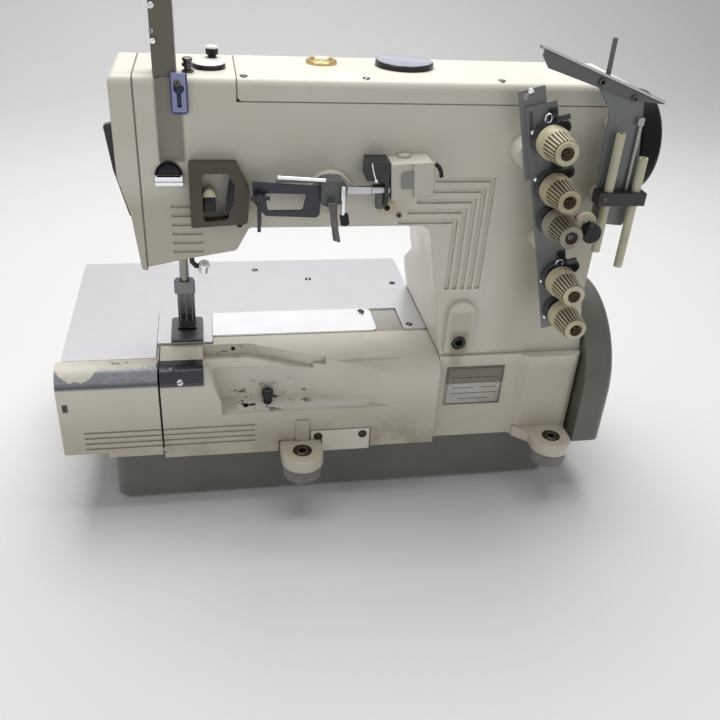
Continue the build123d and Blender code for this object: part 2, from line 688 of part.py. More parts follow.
def tray_cut():
    """Tapering recess in the front cover with a lower shelf beside the needle plate."""
    deep = 25.0
    side = along_x([
        (BED_FRONT - 2, tray_floor_z(BED_FRONT - 2), 0),
        (BED_FRONT + deep - 6, tray_floor_z(BED_FRONT + deep - 6), 5),
        (BED_FRONT + deep, SEAM_Z + 2, 0),
        (BED_FRONT - 2, SEAM_Z + 2, 0),
    ], BAND_R, TRAY_TIP)
    plan = along_z([
        (TRAY_L, BED_FRONT - 2, 0),
        (BAND_R + 4, BED_FRONT + deep + 1, 8),
        (TRAY_L + 45, BED_FRONT + deep + 1, 20),
        (TRAY_TIP, BED_FRONT, 0),
        (TRAY_TIP, BED_FRONT - 2, 0),
    ], PAN_H, SEAM_Z + 3)
    shelf = along_z([
        (BAND_R, BED_FRONT + deep - 8, 0),
        (BAND_R, STRIP_FRONT - 15.8, 0),
        (58, STRIP_FRONT - 15.8, 0),
        (122, BED_FRONT + 18, 0),
        (80, BED_FRONT + 12, 0),
    ], SHELF_Z, SEAM_Z + 1)
    slope = along_y([
        (BAND_R + 3, SEAM_Z + 2, 0),
        (TRAY_L + 8, SEAM_Z + 2, 0),
        (TRAY_L + 8, TRAY_FLOOR + 6, 0),
        (TRAY_L + 1, TRAY_FLOOR + 6, 0),
    ], BED_FRONT - 2, BED_FRONT + deep - 7)
    return (side & plan) + shelf + slope


def tray_body():
    """Material behind the front cover's wall that the tray and its shelf are cut in."""
    tray = block(BAND_R, TRAY_TIP + 9, BED_FRONT + COVER_DEPTH, TRAY_BACK - 0.1, TRAY_FLOOR - 8, SEAM_Z)
    shelf = block(COVER_SEAM_X, SHELF_R - 1, TRAY_BACK - 1, STRIP_FRONT - 14.1, SHELF_Z - 5, SEAM_Z)
    return tray + shelf


def front_cover():
    """Cover over the bed's front with the threading tray; carries the push-button."""
    cover = along_x(cover_section(0), COVER_SEAM_X, COLUMN_FOOT_L - GAP)
    right_fill = block(NEEDLE_PLATE_R, COLUMN_FOOT_L - GAP, STRIP_FRONT - 15, STRIP_FRONT - GAP,
                       BED_DECK, SEAM_Z)
    cover += right_fill + tray_body()
    cover += block(99, 112, BED_FRONT - 1.5, BED_FRONT + 5, LUG_TOP, LUG_TOP + 24)
    cover -= tray_cut()
    cover -= rib_cuts(COVER_SEAM_X - 1, 60)
    cover -= block(COVER_SEAM_X - 1, BAND_R, BED_FRONT - 1, BED_FRONT + 22, BAND_Z, SEAM_Z + 1)
    cover -= block(COVER_SEAM_X + COVER_WALL, COLUMN_FOOT_L - GAP - COVER_WALL, BED_FRONT + COVER_WALL,
                   BED_FRONT + COVER_DEPTH + 1, PAN_H + 14, TRAY_FLOOR - 8)
    cover -= bar_z(TRAY_FLOOR - 9, SEAM_Z, BUTTON_X, BUTTON_Y, BUTTON_STEM_R + GAP)
    cover -= bar_x(COVER_SEAM_X - 1, COVER_SEAM_X + 12, HINGE_Y, HINGE_Z, HINGE_R)
    cover -= block(LATCH_X[0], LATCH_X[1], BED_FRONT - 1, BED_FRONT + 2, LATCH_Z[0], LATCH_Z[1])
    cover -= block(92, 128, BED_FRONT + 8, BED_FRONT + 19, SEAM_Z - 6, SEAM_Z + 1)
    cover -= bar_z(TRAY_FLOOR - 12, SEAM_Z, 52, -60, 2.5)
    cover -= block(LUG_X[0] - LUG_R - 1, LUG_X[0] + LUG_R + 1, BED_FRONT - 1, BED_FRONT + 13,
                   PAN_H - 1, LUG_TOP + 0.5)
    return cover


def edge_band():
    """Dark steel band that carries the rolled edge on beside the tray."""
    section = [
        (BED_FRONT, BAND_Z, 0),
        (BED_FRONT + 21.5, BAND_Z, 0),
        (BED_FRONT + 21.5, SEAM_Z, 0),
        (BED_FRONT, SEAM_Z, ROLL_R - 3),
    ]
    return along_x(section, COVER_SEAM_X, BAND_R)


def looper_cover():
    """Hinged cover over the loopers: a rolled shell with two hinge knuckles."""
    outer = along_x([
        (BED_FRONT, PAN_H + 1, (COVER_DEPTH - GAP) / 2 - 0.1),
        (BED_FRONT + COVER_DEPTH - GAP, PAN_H + 1, (COVER_DEPTH - GAP) / 2 - 0.1),
        (BED_FRONT + COVER_DEPTH - GAP, BED_DECK + GAP, 0),
        (PLATE_FRONT_L - GAP, BED_DECK + GAP, 0),
        (PLATE_FRONT_L - GAP, BED_TOP, 1),
        (BED_FRONT, BED_TOP, ROLL_R),
    ], BED_L - 4, COVER_SEAM_X - COVER_SEAM_GAP)
    room = along_x([
        (BED_FRONT + COVER_WALL, PAN_H + 20, 0),
        (BED_FRONT + 13, PAN_H + 20, 0),
        (BED_FRONT + 13, BED_DECK - 10, 0),
        (BED_FRONT + COVER_WALL, BED_DECK - 16, 0),
    ], BED_L, COVER_SEAM_X - COVER_SEAM_GAP - 4)
    cover = outer - room - rib_cuts(BED_L + 16, COVER_SEAM_X)
    cover -= block(BED_L - 5, BED_STEP_X, BED_FRONT - 1, BED_FRONT + COVER_DEPTH, PAN_H, BED_STEP_Z)
    cover -= bar_x(BED_STEP_X - 1, COVER_SEAM_X, HINGE_Y, HINGE_Z, HINGE_R + RUN)
    return cover - block(HINGE_LUG_X[0] - GAP, HINGE_LUG_X[1] + GAP, HINGE_Y - HINGE_LUG_R - GAP,
                         BED_FRONT + COVER_DEPTH, PAN_H, HINGE_Z + HINGE_LUG_R + 4)


def cover_hinge_pin():
    """Hinge pin of the looper cover, held in the fixed front cover."""
    return bar_x(BED_STEP_X + 1, COVER_SEAM_X + 12, HINGE_Y, HINGE_Z, HINGE_R)


def latch_plate():
    """Small plate screwed into a recess low on the front cover."""
    plate = block(LATCH_X[0] + 0.8, LATCH_X[1] - 0.8, BED_FRONT - 0.5, BED_FRONT + 2,
                  LATCH_Z[0], LATCH_Z[1] - 0.8)
    for x in (LATCH_X[0] + 8, LATCH_X[1] - 8):
        plate -= bar_y(BED_FRONT - 1, BED_FRONT + 1, x, LATCH_Z[1] - 7.5, 3)
    front, _ = LUG_Y
    return plate - block(LUG_X[0], LUG_X[0] + LUG_R + 1, front, BED_FRONT + 5, LATCH_Z[0] - 1, LUG_TOP + 0.5)


def push_button():
    """Sprung button in the tray with a collar under the floor."""
    head_z = tray_floor_z(BUTTON_Y + BUTTON_R) + BUTTON_TRAVEL + 1.5
    collar_z = TRAY_FLOOR - 8 - GAP
    stem = bar_z(collar_z - 2.5, head_z + 1, BUTTON_X, BUTTON_Y, BUTTON_STEM_R)
    collar = bar_z(collar_z - 2.5, collar_z, BUTTON_X, BUTTON_Y, BUTTON_R + 1)
    head = turned([(0, 0, 0), (BUTTON_R, 0, 0), (BUTTON_R, 5, 0), (BUTTON_R - 1, 6, 0), (0, 6, 0)],
                  (BUTTON_X, BUTTON_Y, head_z), UPRIGHT)
    return stem + collar + head


# Shafts and drive

CRANK_X = 16.0
CRANK_R = 22.0
CRANK_T = 12.0
CRANK_THROW = STROKE / 2
SHAFT_L_X = 28.0
LOWER_L_X = 84.0
DRIVE_X = COLUMN_FOOT_R + 10.0
DRIVE_W = 16.0


def toothed_pulley(x, z):
    """Timing pulley with square-cut teeth between two flanges."""
    tooth = 2 * pi * PULLEY_R / BELT_TEETH / 2
    rim = Circle(PULLEY_R)
    for i in range(BELT_TEETH):
        rim -= Rot(0, 0, 360 * i / BELT_TEETH) * Pos(PULLEY_R, 0) * Rectangle(2.4, tooth)
    body = extrude(rim, amount=BELT_W + 1)
    body = Pos(x - 0.5, 0, z) * TO_X * body
    for edge in (x - 2.5, x + BELT_W + 0.5):
        body += bar_x(edge, edge + 2, 0, z, PULLEY_R + 3)
    return body


def main_shaft():
    """Upper shaft with the needle crank and its counterweight keyed on."""
    shaft = bar_x(SHAFT_L_X - 1, WHEEL_X + WHEEL_W + 3, 0, UPPER_SHAFT_Z, SHAFT_R)
    crank = bar_x(CRANK_X, CRANK_X + CRANK_T, 0, UPPER_SHAFT_Z, CRANK_R)
    side_cut = block(CRANK_X - 1, CRANK_X + CRANK_T + 1, 9, CRANK_R + 1,
                     UPPER_SHAFT_Z, UPPER_SHAFT_Z + CRANK_R + 1)
    other_cut = block(CRANK_X - 1, CRANK_X + CRANK_T + 1, -CRANK_R - 1, -9,
                      UPPER_SHAFT_Z, UPPER_SHAFT_Z + CRANK_R + 1)
    pin = bar_x(CRANK_X - 7, CRANK_X + 1, 0, UPPER_SHAFT_Z + CRANK_THROW, 4)
    pulley = toothed_pulley(BELT_X, UPPER_SHAFT_Z)
    return shaft + (crank - side_cut - other_cut) + pin + pulley


def lower_shaft():
    """Lower shaft with its timing pulley and the looper eccentric."""
    shaft = bar_x(LOWER_L_X, DRIVE_X + DRIVE_W + 0.5, 0, LOWER_SHAFT_Z, SHAFT_R)
    eccentric = bar_x(LOWER_L_X - 10, LOWER_L_X + 2, 4, LOWER_SHAFT_Z, 14)
    return shaft + eccentric + toothed_pulley(BELT_X, LOWER_SHAFT_Z)


def timing_belt():
    """Endless belt between the two timing pulleys."""
    inner_r = PULLEY_R + GAP
    outer_r = inner_r + BELT_T
    loop = None
    for radius in (outer_r, inner_r):
        ring = bar_x(BELT_X, BELT_X + BELT_W, 0, UPPER_SHAFT_Z, radius)
        ring += bar_x(BELT_X, BELT_X + BELT_W, 0, LOWER_SHAFT_Z, radius)
        ring += block(BELT_X, BELT_X + BELT_W, -radius, radius, LOWER_SHAFT_Z, UPPER_SHAFT_Z)
        loop = ring if loop is None else loop - ring
    return loop


def handwheel():
    """Dished handwheel with a rounded rim and a hub on the upper shaft."""
    inner = SHAFT_R
    profile = [
        (inner, -18, 0),
        (16, -18, 0),
        (17, -17, 0),
        (17, 4, 0),
        (WHEEL_R - 12, 4, 0),
        (WHEEL_R - 10, 0, 0),
        (WHEEL_R, 0, 4),
        (WHEEL_R, WHEEL_W, 6),
        (WHEEL_R - 12, WHEEL_W, 0),
        (WHEEL_R - 16, WHEEL_W - 7, 0),
        (18, WHEEL_W - 7, 0),
        (16, WHEEL_W + 1, 0),
        (inner, WHEEL_W + 1, 0),
    ]
    return turned(profile, (WHEEL_X, 0, UPPER_SHAFT_Z), TO_X)


def drive_pulley():
    """Grooved pulley on the lower shaft for the motor's belt."""
    profile = [
        (SHAFT_R, 0, 0),
        (DRIVE_R, 0, 0),
        (DRIVE_R, 2.5, 0),
        (DRIVE_R - 10, 6, 0),
        (DRIVE_R - 10, 10, 0),
        (DRIVE_R, 13.5, 0),
        (DRIVE_R, DRIVE_W, 0),
        (SHAFT_R, DRIVE_W, 0),
    ]
    return turned(profile, (DRIVE_X, 0, LOWER_SHAFT_Z), TO_X)


def belt_cover_section(inset):
    """Arched outline of the belt cover in (Y, Z)."""
    radius = COVER_R - inset
    arch = Pos(COVER_Y, LOWER_SHAFT_Z) * Circle(radius)
    base = Pos(COVER_Y, (PAN_H + LOWER_SHAFT_Z) / 2 - inset / 2)
    top_half = arch & (Pos(COVER_Y, LOWER_SHAFT_Z + COVER_R / 2) * Rectangle(2 * COVER_R + 2, COVER_R + 1))
    return top_half + base * Rectangle(2 * radius, LOWER_SHAFT_Z - PAN_H + inset)


def belt_cover():
    """Arched cover over the drive pulley, open below."""
    shell = extrude(Plane.YZ.offset(COLUMN_FOOT_R) * belt_cover_section(0), amount=COVER_W)
    outer_face = shell.faces().sort_by(Axis.X)[-1]
    rim = outer_face.edges().sort_by(Axis.Z)[-1]
    shell = fillet([rim], 8)
    room = Plane.YZ.offset(COLUMN_FOOT_R + 2) * belt_cover_section(3)
    shell -= extrude(room, amount=COVER_W - 5)
    return shell - bar_x(COLUMN_FOOT_R - 1, COLUMN_FOOT_R + 3, 0, LOWER_SHAFT_Z, BUSH_R + 1)


def bush_x(x, z, length):
    """Flanged bearing bush on a shaft along X."""
    ring = bar_x(x, x + length, 0, z, BUSH_R)
    ring += bar_x(x - 2, x, 0, z, BUSH_R + 3)
    return ring - bar_x(x - 3, x + length + 1, 0, z, SHAFT_R + RUN)


def shaft_bushes():
    """Bushes of both shafts."""
    return Compound(children=[
        bush_x(WEB_X, UPPER_SHAFT_Z, WEB_T),
        bush_x(ARM_END - WALL, UPPER_SHAFT_Z, WALL + WHEEL_BOSS_W - 1),
        bush_x(100, LOWER_SHAFT_Z, WEB_T),
        bush_x(COLUMN_FOOT_R - WALL, LOWER_SHAFT_Z, WALL),
    ])


def bar_bushes():
    """Guide bushes of the needle bar and the presser bar."""
    bushes = []
    for y in (0, PRESSER_Y):
        for z0, z1 in ((HEAD_FLOOR - 4, HEAD_FLOOR + 22), (BAR_WEB_Z, BAR_WEB_Z + WEB_T)):
            ring = bar_z(z0, z1, 0, y, BAR_BUSH_R)
            bushes.append(ring - bar_z(z0 - 1, z1 + 1, 0, y, BAR_R + RUN))
    return Compound(children=bushes)


# Needle bar, presser bar and feed

TAKEUP_CLAMP_H = 8.0
BAR_TOP = BAR_WEB_Z + WEB_T + STROKE + 1.5 * TAKEUP_CLAMP_H
CLAMP_Z = NEEDLE_TIP + NEEDLE_OUT
DOG_ROWS = (-11.5, -4.0, 4.0, 11.5)
FEED_TRAVEL = 2.0
DOG_GAP = 0.5
MAIN_DOG_Y = (6.0, 28.0)
FRONT_DOG_Y = (-13.0, -6.0)
FOOT_T = 4.5


def needle_bar():
    """Needle bar."""
    bar = bar_z(CLAMP_Z + 2, BAR_TOP, 0, 0, BAR_R)
    return chamfer(bar.edges().sort_by(Axis.Z)[-1:], 0.8)


def needle_clamp():
    """Needle clamp with three needles, pressed on the needle bar."""
    body = along_z([
        (-10, -5.5, 2),
        (10, -5.5, 2),
        (8, 5.5, 3),
        (-8, 5.5, 3),
    ], CLAMP_Z, CLAMP_Z + CLAMP_H)
    body -= bar_z(CLAMP_Z + 2, CLAMP_Z + CLAMP_H + 1, 0, 0, BAR_R)
    for i in (-1, 0, 1):
        x = i * NEEDLE_GAUGE
        blade = bar_z(NEEDLE_TIP + 4, CLAMP_Z + 1, x, 0, 0.55)
        tip = Pos(x, 0, NEEDLE_TIP + 2) * Cone(0.12, 0.55, 4)
        shank = bar_z(CLAMP_Z - 9, CLAMP_Z + 1, x, 0, 1.0)
        body += blade + tip + shank
    return body


def take_up_lever():
    """Thread take-up rod clamped to the needle bar's top, rising into its guard."""
    clamp_z = BAR_TOP - TAKEUP_CLAMP_H - 1
    clamp_top = clamp_z + TAKEUP_CLAMP_H
    bore = bar_z(clamp_z - 1, clamp_top + 1, 0, 0, BAR_R)
    ring = bar_z(clamp_z, clamp_top, 0, 0, 2 * BAR_R) - bore
    arm = block(TAKEUP_X - 3.5, TAKEUP_X + 3.5, TAKEUP_Y, -6, clamp_z, clamp_top) - bore
    eye_z = GUARD_TOP - 14
    stem = bar_z(clamp_z, eye_z, TAKEUP_X, TAKEUP_Y, TAKEUP_R)
    eye = bar_y(TAKEUP_Y - 2, TAKEUP_Y + 2, TAKEUP_X, eye_z, 5)
    hole = bar_y(TAKEUP_Y - 4, TAKEUP_Y + 4, TAKEUP_X, eye_z, 2)
    return ring + arm + (stem + eye - hole)


def presser_bar():
    """Presser bar with the lifting collar that the hand lever acts on."""
    bar = bar_z(BED_TOP + 26, BAR_WEB_Z + WEB_T + 26, 0, PRESSER_Y, BAR_R)
    collar = bar_z(HEAD_FLOOR + 26, HEAD_FLOOR + 38, 0, PRESSER_Y, 8)
    return bar + collar


def presser_foot():
    """Presser foot: shank clamped on the presser bar, forked sole with a needle slot."""
    shank = along_x([
        (PRESSER_Y - 8, BED_TOP + 40, 2),
        (PRESSER_Y + 7, BED_TOP + 40, 2),
        (PRESSER_Y + 7, BED_TOP + 10, 2),
        (PRESSER_Y + 1, BED_TOP + 3, 0),
        (PRESSER_Y - 7, BED_TOP + 3, 0),
        (PRESSER_Y - 8, BED_TOP + 16, 0),
    ], -8, 8)
    sole = along_z([
        (-15, -20, 3),
        (15, -20, 3),
        (15, 24, 4),
        (-15, 24, 4),
    ], BED_TOP + GAP, BED_TOP + FOOT_T)
    toe = along_x([
        (-21, BED_TOP + GAP - 0.1, 0),
        (-21, BED_TOP + 3, 0),
        (-17, BED_TOP + GAP - 0.1, 0),
    ], -16, 16)
    sole -= toe
    sole -= block(-NEEDLE_GAUGE - 3, NEEDLE_GAUGE + 3, -3, 3, BED_TOP - 1, BED_TOP + 6)
    foot = shank + sole
    return foot - bar_z(BED_TOP + 26, BED_TOP + 41, 0, PRESSER_Y, BAR_R)


def feed_dog(span, bar_place):
    """Toothed feed dog rows on one bar that runs back to its guide."""
    front, back = span
    x, bar_z0 = bar_place
    height = BED_TOP - 0.4
    dog = Part()
    for row in DOG_ROWS:
        teeth = [(front, FEED_Z + 5, 0), (back, FEED_Z + 5, 0), (back, height, 0)]
        pitch = 2.0
        count = int((back - front) / pitch)
        for k in range(count):
            teeth.append((back - k * pitch - pitch, height - 0.9, 0))
            if k < count - 1:
                teeth.append((back - k * pitch - pitch, height, 0))
        dog += along_x(teeth, row - 1.6, row + 1.6)
    dog += block(DOG_ROWS[0] - 2, DOG_ROWS[-1] + 2, front, back, bar_z0, FEED_Z + 6)
    dog += block(x - FEED_BAR_W / 2, x + FEED_BAR_W / 2, back - 1, FEED_GUIDE_Y[1] + 6,
                 bar_z0, bar_z0 + FEED_BAR_H)
    return dog


def looper():
    """Lower looper on its rocking shaft."""
    shaft = bar_y(-8, LOOPER_BOSS_Y[1] + 12, LOOPER_X, LOOPER_Z, LOOPER_SHAFT_R)
    arm = along_y([
        (LOOPER_X - 7, LOOPER_Z - 5, 3),
        (LOOPER_X + 7, LOOPER_Z - 5, 3),
        (LOOPER_X + 5, LOOPER_Z + 36, 2),
        (LOOPER_X - 5, LOOPER_Z + 36, 2),
    ], -8, 4)
    blade = along_y([
        (LOOPER_X - 3, LOOPER_Z + 34, 0),
        (LOOPER_X + 4, LOOPER_Z + 34, 0),
        (LOOPER_X + 17, LOOPER_Z + 46, 3),
        (LOOPER_X + 34, LOOPER_Z + 42, 0),
        (LOOPER_X + 17, LOOPER_Z + 49, 6),
        (LOOPER_X - 3, LOOPER_Z + 44, 3),
    ], 1.5, 3.1)
    return shaft + arm + blade


def lifter_lever():
    """Hand lever behind the head that lifts the presser bar."""
    hub = bar_y(ARM_BACK + GAP, ARM_BACK + 12, LIFTER_X, LIFTER_Z, 9)
    arm = along_y([
        (HEAD_L - 19, LIFTER_Z + 30, 2),
        (HEAD_L - 6, LIFTER_Z + 33, 2),
        (LIFTER_X + 6, LIFTER_Z + 6, 2),
        (LIFTER_X + 2, LIFTER_Z - 8, 2),
        (HEAD_L + 8, HEAD_FLOOR + 5, 3),
        (HEAD_L - 3, HEAD_FLOOR + 5, 3),
        (HEAD_L - 14, LIFTER_Z - 10, 3),
    ], ARM_BACK + 4, ARM_BACK + 11)
    stud = bar_y(ARM_BACK - WALL, ARM_BACK + 1, LIFTER_X, LIFTER_Z, LIFTER_STUD_R)
    return hub + arm + stud


# Details on the arm

def take_up_guard():
    """Upright channel in front of the thread take-up, with a foot on the head."""
    x0 = TAKEUP_X - GUARD_HALF_W
    x1 = TAKEUP_X + GUARD_HALF_W
    y0 = ARM_FRONT + 1
    guard = block(x0, x1, y0, y0 + 2, ARM_TOP, GUARD_TOP)
    guard += block(x0, x0 + 1.6, y0, y0 + 24, ARM_TOP, GUARD_TOP)
    guard += block(x1 - 1.6, x1, y0, y0 + 24, ARM_TOP, GUARD_TOP - 30)
    guard += block(x0, x1, y0, y0 + 5, ARM_TOP, ARM_TOP + 2)
    guard -= bar_y(y0 - 1, y0 + 3, TAKEUP_X, GUARD_TOP - 10, 2.5)
    return guard


def keyhole_guide():
    """Thread guide plate with a keyhole slot on the head's front."""
    x = 7.0
    plate = along_y([
        (x - 6.5, ARM_TOP + 3, 2),
        (x + 6.5, ARM_TOP + 3, 2),
        (x + 6.5, ARM_TOP - 27, 3),
        (x - 6.5, ARM_TOP - 27, 3),
    ], ARM_FRONT - 2.5, ARM_FRONT)
    plate -= bar_y(ARM_FRONT - 3, ARM_FRONT + 1, x, ARM_TOP - 8, 4)
    plate -= block(x - 1.6, x + 1.6, ARM_FRONT - 3, ARM_FRONT + 1, ARM_TOP - 22, ARM_TOP - 8)
    return plate


def thread_pocket():
    """Half-round cup with a lip across the thread pocket's mouth."""
    inner = POCKET_R - 1.6
    front = ARM_FRONT - 2
    half = block(POCKET_X - 20, POCKET_X + 20, front - 1, 0, POCKET_Z, POCKET_Z + 20)
    cup = bar_y(front + 1, ARM_FRONT + WALL - 1, POCKET_X, POCKET_Z, POCKET_R)
    cup -= bar_y(front - 1, ARM_FRONT + WALL - 3, POCKET_X, POCKET_Z, inner)
    lip = block(POCKET_X - POCKET_R, POCKET_X + POCKET_R, front - 1.5, front_y(POCKET_Z - 6),
                POCKET_Z - 7, POCKET_Z)
    lip -= block(POCKET_X - POCKET_R - 1, POCKET_X + POCKET_R + 1, front - 2, front + 0.3,
                 POCKET_Z - 4.5, POCKET_Z - 2.5)
    lip -= along_x(arm_section(0), POCKET_X - 20, POCKET_X + 20)
    return (cup & half) + lip


def wiper_guard():
    """D-shaped box guard over the wiper's left end, with a window in its front."""
    x0 = 11.0
    x1 = 58.0
    z0 = ARM_UNDER + 6.5
    z1 = ARM_UNDER + 58.5
    y0 = ARM_FRONT - 13
    face = [
        (x0, z1, 2),
        (x1 - 10, z1, 2),
        (x1, z1 - 22, 4),
        (x1 - 2, z0 + 3, 3),
        (x0, z0, 2),
    ]
    inner = [
        (x0 + 2.5, z1 - 2.5, 0),
        (x1 - 12, z1 - 2.5, 0),
        (x1 - 2.5, z1 - 22.5, 0),
        (x1 - 4.5, z0 + 5, 0),
        (x0 + 2.5, z0 + 2.5, 0),
    ]
    window = [
        (x0 + 10, z1 - 7, 3),
        (x0 + 32, z1 - 7, 3),
        (x0 + 30, z0 + 7, 3),
        (x0 + 10, z0 + 5, 3),
    ]
    guard = along_y(face, y0, ARM_FRONT + 3)
    guard -= along_y(inner, y0 + 3, ARM_FRONT + 4)
    guard -= along_y(window, y0 - 1, y0 + 4)
    return guard - along_x(arm_section(0), 0, 70)


def wiper_arm():
    """Clamp on the wiper shaft with its hanging lever and the rod across the arm."""
    y0 = ARM_FRONT - 24
    shaft = bar_y(y0 + 4, ARM_FRONT + WALL + 2, WIPER_X, WIPER_Z, 5)
    clamp = block(WIPER_X - 10, WIPER_X + 8, y0, ARM_FRONT - 8, WIPER_Z - 2, WIPER_Z + 17)
    clamp = fillet(clamp.edges().filter_by(Axis.Y), 2)
    lever = along_y([
        (WIPER_X - 4, WIPER_Z, 0),
        (WIPER_X + 2, WIPER_Z, 0),
        (WIPER_X + 6, WIPER_Z - 34, 2),
        (WIPER_X + 1, WIPER_Z - 34, 2),
    ], y0, y0 + 4)
    rod = bar_x(WIPER_X - 46, WIPER_X - 9, y0 + 6, WIPER_Z + 15.5, 1.5)
    return clamp + lever + rod + shaft


def wiper_bracket():
    """Windowed bracket that carries the wiper's pin lever, screwed to the clamp."""
    y0 = ARM_FRONT - 17
    right = WIPER_X - 10
    plate = along_y([
        (right - 54, WIPER_Z + 14, 1),
        (right, WIPER_Z + 10, 0),
        (right, WIPER_Z - 16, 4),
        (right - 44, WIPER_Z - 14, 3),
        (right - 54, WIPER_Z - 2, 3),
    ], y0, y0 + 3)
    plate -= along_y([
        (right - 44, WIPER_Z + 5, 2),
        (right - 11, WIPER_Z + 4, 2),
        (right - 14, WIPER_Z - 10, 2),
        (right - 42, WIPER_Z - 10, 2),
    ], y0 - 1, y0 + 4)
    pin = bar_z(WIPER_Z - 28, WIPER_Z - 4, right - 49, y0 + 1.5, 1.5)
    return plate + pin


SOLENOID_X = 172.0
SOLENOID_Z = ARM_UNDER + 31.0


def solenoid_box():
    """Box of the wiper's solenoid, set slightly askew on the arm's front."""
    box = block(0, 34, -25, 0, 0, 31)
    box = fillet(box.edges(), 1.5)
    box += block(18, 35, -27, -24, 3, 30)
    box += bar_z(30, 33, 14, -9, 5)
    turn = Pos(SOLENOID_X, front_y(SOLENOID_Z) + 2, SOLENOID_Z) * Rot(0, -5, 0)
    plunger_y = front_y(SOLENOID_Z + 10) - 16
    socket = bar_x(SOLENOID_X - 5, SOLENOID_X + 12, plunger_y, SOLENOID_Z + 8, 4 + GAP)
    return turn * box - along_x(arm_section(0), SOLENOID_X - 10, SOLENOID_X + 50) - socket


def solenoid_bracket():
    """Black bracket beside the solenoid that guides its plunger."""
    y1 = front_y(SOLENOID_Z + 10)
    x1 = SOLENOID_X - 3
    bracket = block(x1 - 18, x1, y1 - 22, y1, SOLENOID_Z + 17, SOLENOID_Z + 32)
    bracket += block(x1 - 3, x1, y1 - 22, y1, SOLENOID_Z - 4, SOLENOID_Z + 18)
    bracket -= bar_x(x1 - 5, x1 + 1, y1 - 16, SOLENOID_Z + 8, 4 + GAP)
    return bracket - along_x(arm_section(0), x1 - 30, x1 + 10)


def wiper_link():
    """Solenoid plunger with the flat link to the wiper clamp."""
    y1 = front_y(SOLENOID_Z + 10) - 16
    x1 = SOLENOID_X - 2
    plunger = bar_x(x1 - 14, x1 + 0.5, y1, SOLENOID_Z + 8, 4)
    link = block(WIPER_X + 12, x1 - 12, y1 - 1.5, y1 + 1.5, SOLENOID_Z + 4.5, SOLENOID_Z + 10.5)
    return plunger + link


def thread_eyelet():
    """Small round thread eyelet on the arm's front below the solenoid."""
    y = front_y(ARM_UNDER + 20)
    profile = [(2.6, 0, 0), (7, 0, 0), (7, 7.5, 0), (4.5, 10, 0), (2.6, 10, 0)]
    eyelet = turned(profile, (SOLENOID_X, y + 1, ARM_UNDER + 20), TO_FRONT)
    return eyelet - along_x(arm_section(0), SOLENOID_X - 20, SOLENOID_X + 20)


def cap_disc(x, y, radius, height, plug_r, plug_depth):
    """Round cap with a rolled rim and a plug below it."""
    profile = [
        (0, -plug_depth, 0),
        (plug_r, -plug_depth, 0),
        (plug_r, 0, 0),
        (radius, 0, 0),
        (radius, height - 1, 0),
        (radius - 1, height, 0),
        (radius - 3, height, 0),
        (radius - 4, height - 1.2, 0),
        (0, height - 1.2, 0),
    ]
    return turned(profile, (x, y, ARM_TOP), UPRIGHT)


def oil_sight():
    """Ring of the oil sight on the lid."""
    r = SIGHT_R
    profile = [
        (r - 5, -4, 0),
        (r - 3 - 0.1, -4, 0),
        (r - 3 - 0.1, 0, 0),
        (r, 0, 0),
        (r, 1.8, 0),
        (r - 1, 2.8, 0),
        (r - 3, 3.2, 0),
        (r - 5, 1.5, 0),
    ]
    return turned(profile, (SIGHT_X, SIGHT_Y, ARM_TOP), UPRIGHT)


def oil_sight_glass():
    """Domed glass in the oil sight's ring."""
    r = SIGHT_R - 5
    profile = [(0, -3.5, 0), (r, -3.5, 0), (r, 1, 0), (r - 4, 2.6, 3), (0, 3, 0)]
    return turned(profile, (SIGHT_X, SIGHT_Y, ARM_TOP), UPRIGHT)


def pressure_knob():
    """Knurled pressure screw of the presser foot on the head's top."""
    knob = Circle(PRESSURE_R)
    for i in range(16):
        knob -= Rot(0, 0, 22.5 * i) * Pos(PRESSURE_R, 0) * Rectangle(1.0, 1.2)
    body = Pos(0, 0, ARM_TOP + 2) * extrude(knob, amount=9)
    body += bar_z(ARM_TOP + 11, ARM_TOP + 13, 0, 0, PRESSURE_R - 2)
    body += bar_z(ARM_TOP - 24, ARM_TOP + 3, 0, 0, 4 - GAP)
    return Pos(PRESSURE_X, PRESSURE_Y, 0) * body


# Thread tensions

def tension_place(along, across, y):
    """Location on the tension plate, turned with its tilt."""
    x, z = tension_point(along, across)
    return Location((x, y, z), (0, TENSION_TILT * -1, 0))


def tension_plate():
    """Two overlapped plates with the tension studs riveted in."""
    t = TENSION_PLATE_T
    back = tension_place(-4, -9, TENSION_Y - t / 2) * Box(22, t, 74)
    back -= bar_y(TENSION_Y - t - 1, TENSION_Y + 1, *tension_point(-36, -14), 2.5)
    front = tension_place(75, -3, TENSION_Y - 1.5 * t) * Box(26, t, 206)
    front -= tension_place(-14, -12, TENSION_Y - 1.5 * t) * Box(3, t + 2, 20)
    plate = back + front
    for step in TENSION_STEPS:
        x, z = tension_point(step, 0)
        plate += bar_y(TENSION_Y - KNOB_FACE + 4, TENSION_Y - t, x, z, 3)
    return plate


def tension_discs():
    """A pair of dished tension discs and a spring cup behind each knob."""
    discs = []
    for step in TENSION_STEPS:
        x, z = tension_point(step, 0)
        profile = [
            (3, 4.2, 0),
            (DISC_R - 3, 4.2, 0),
            (DISC_R, 6, 0),
            (DISC_R - 3, 7.8, 0),
            (9, 8.4, 0),
            (9, KNOB_BASE - GAP, 0),
            (3, KNOB_BASE - GAP, 0),
        ]
        discs.append(turned(profile, (x, TENSION_Y, z), TO_FRONT))
    return Compound(children=discs)


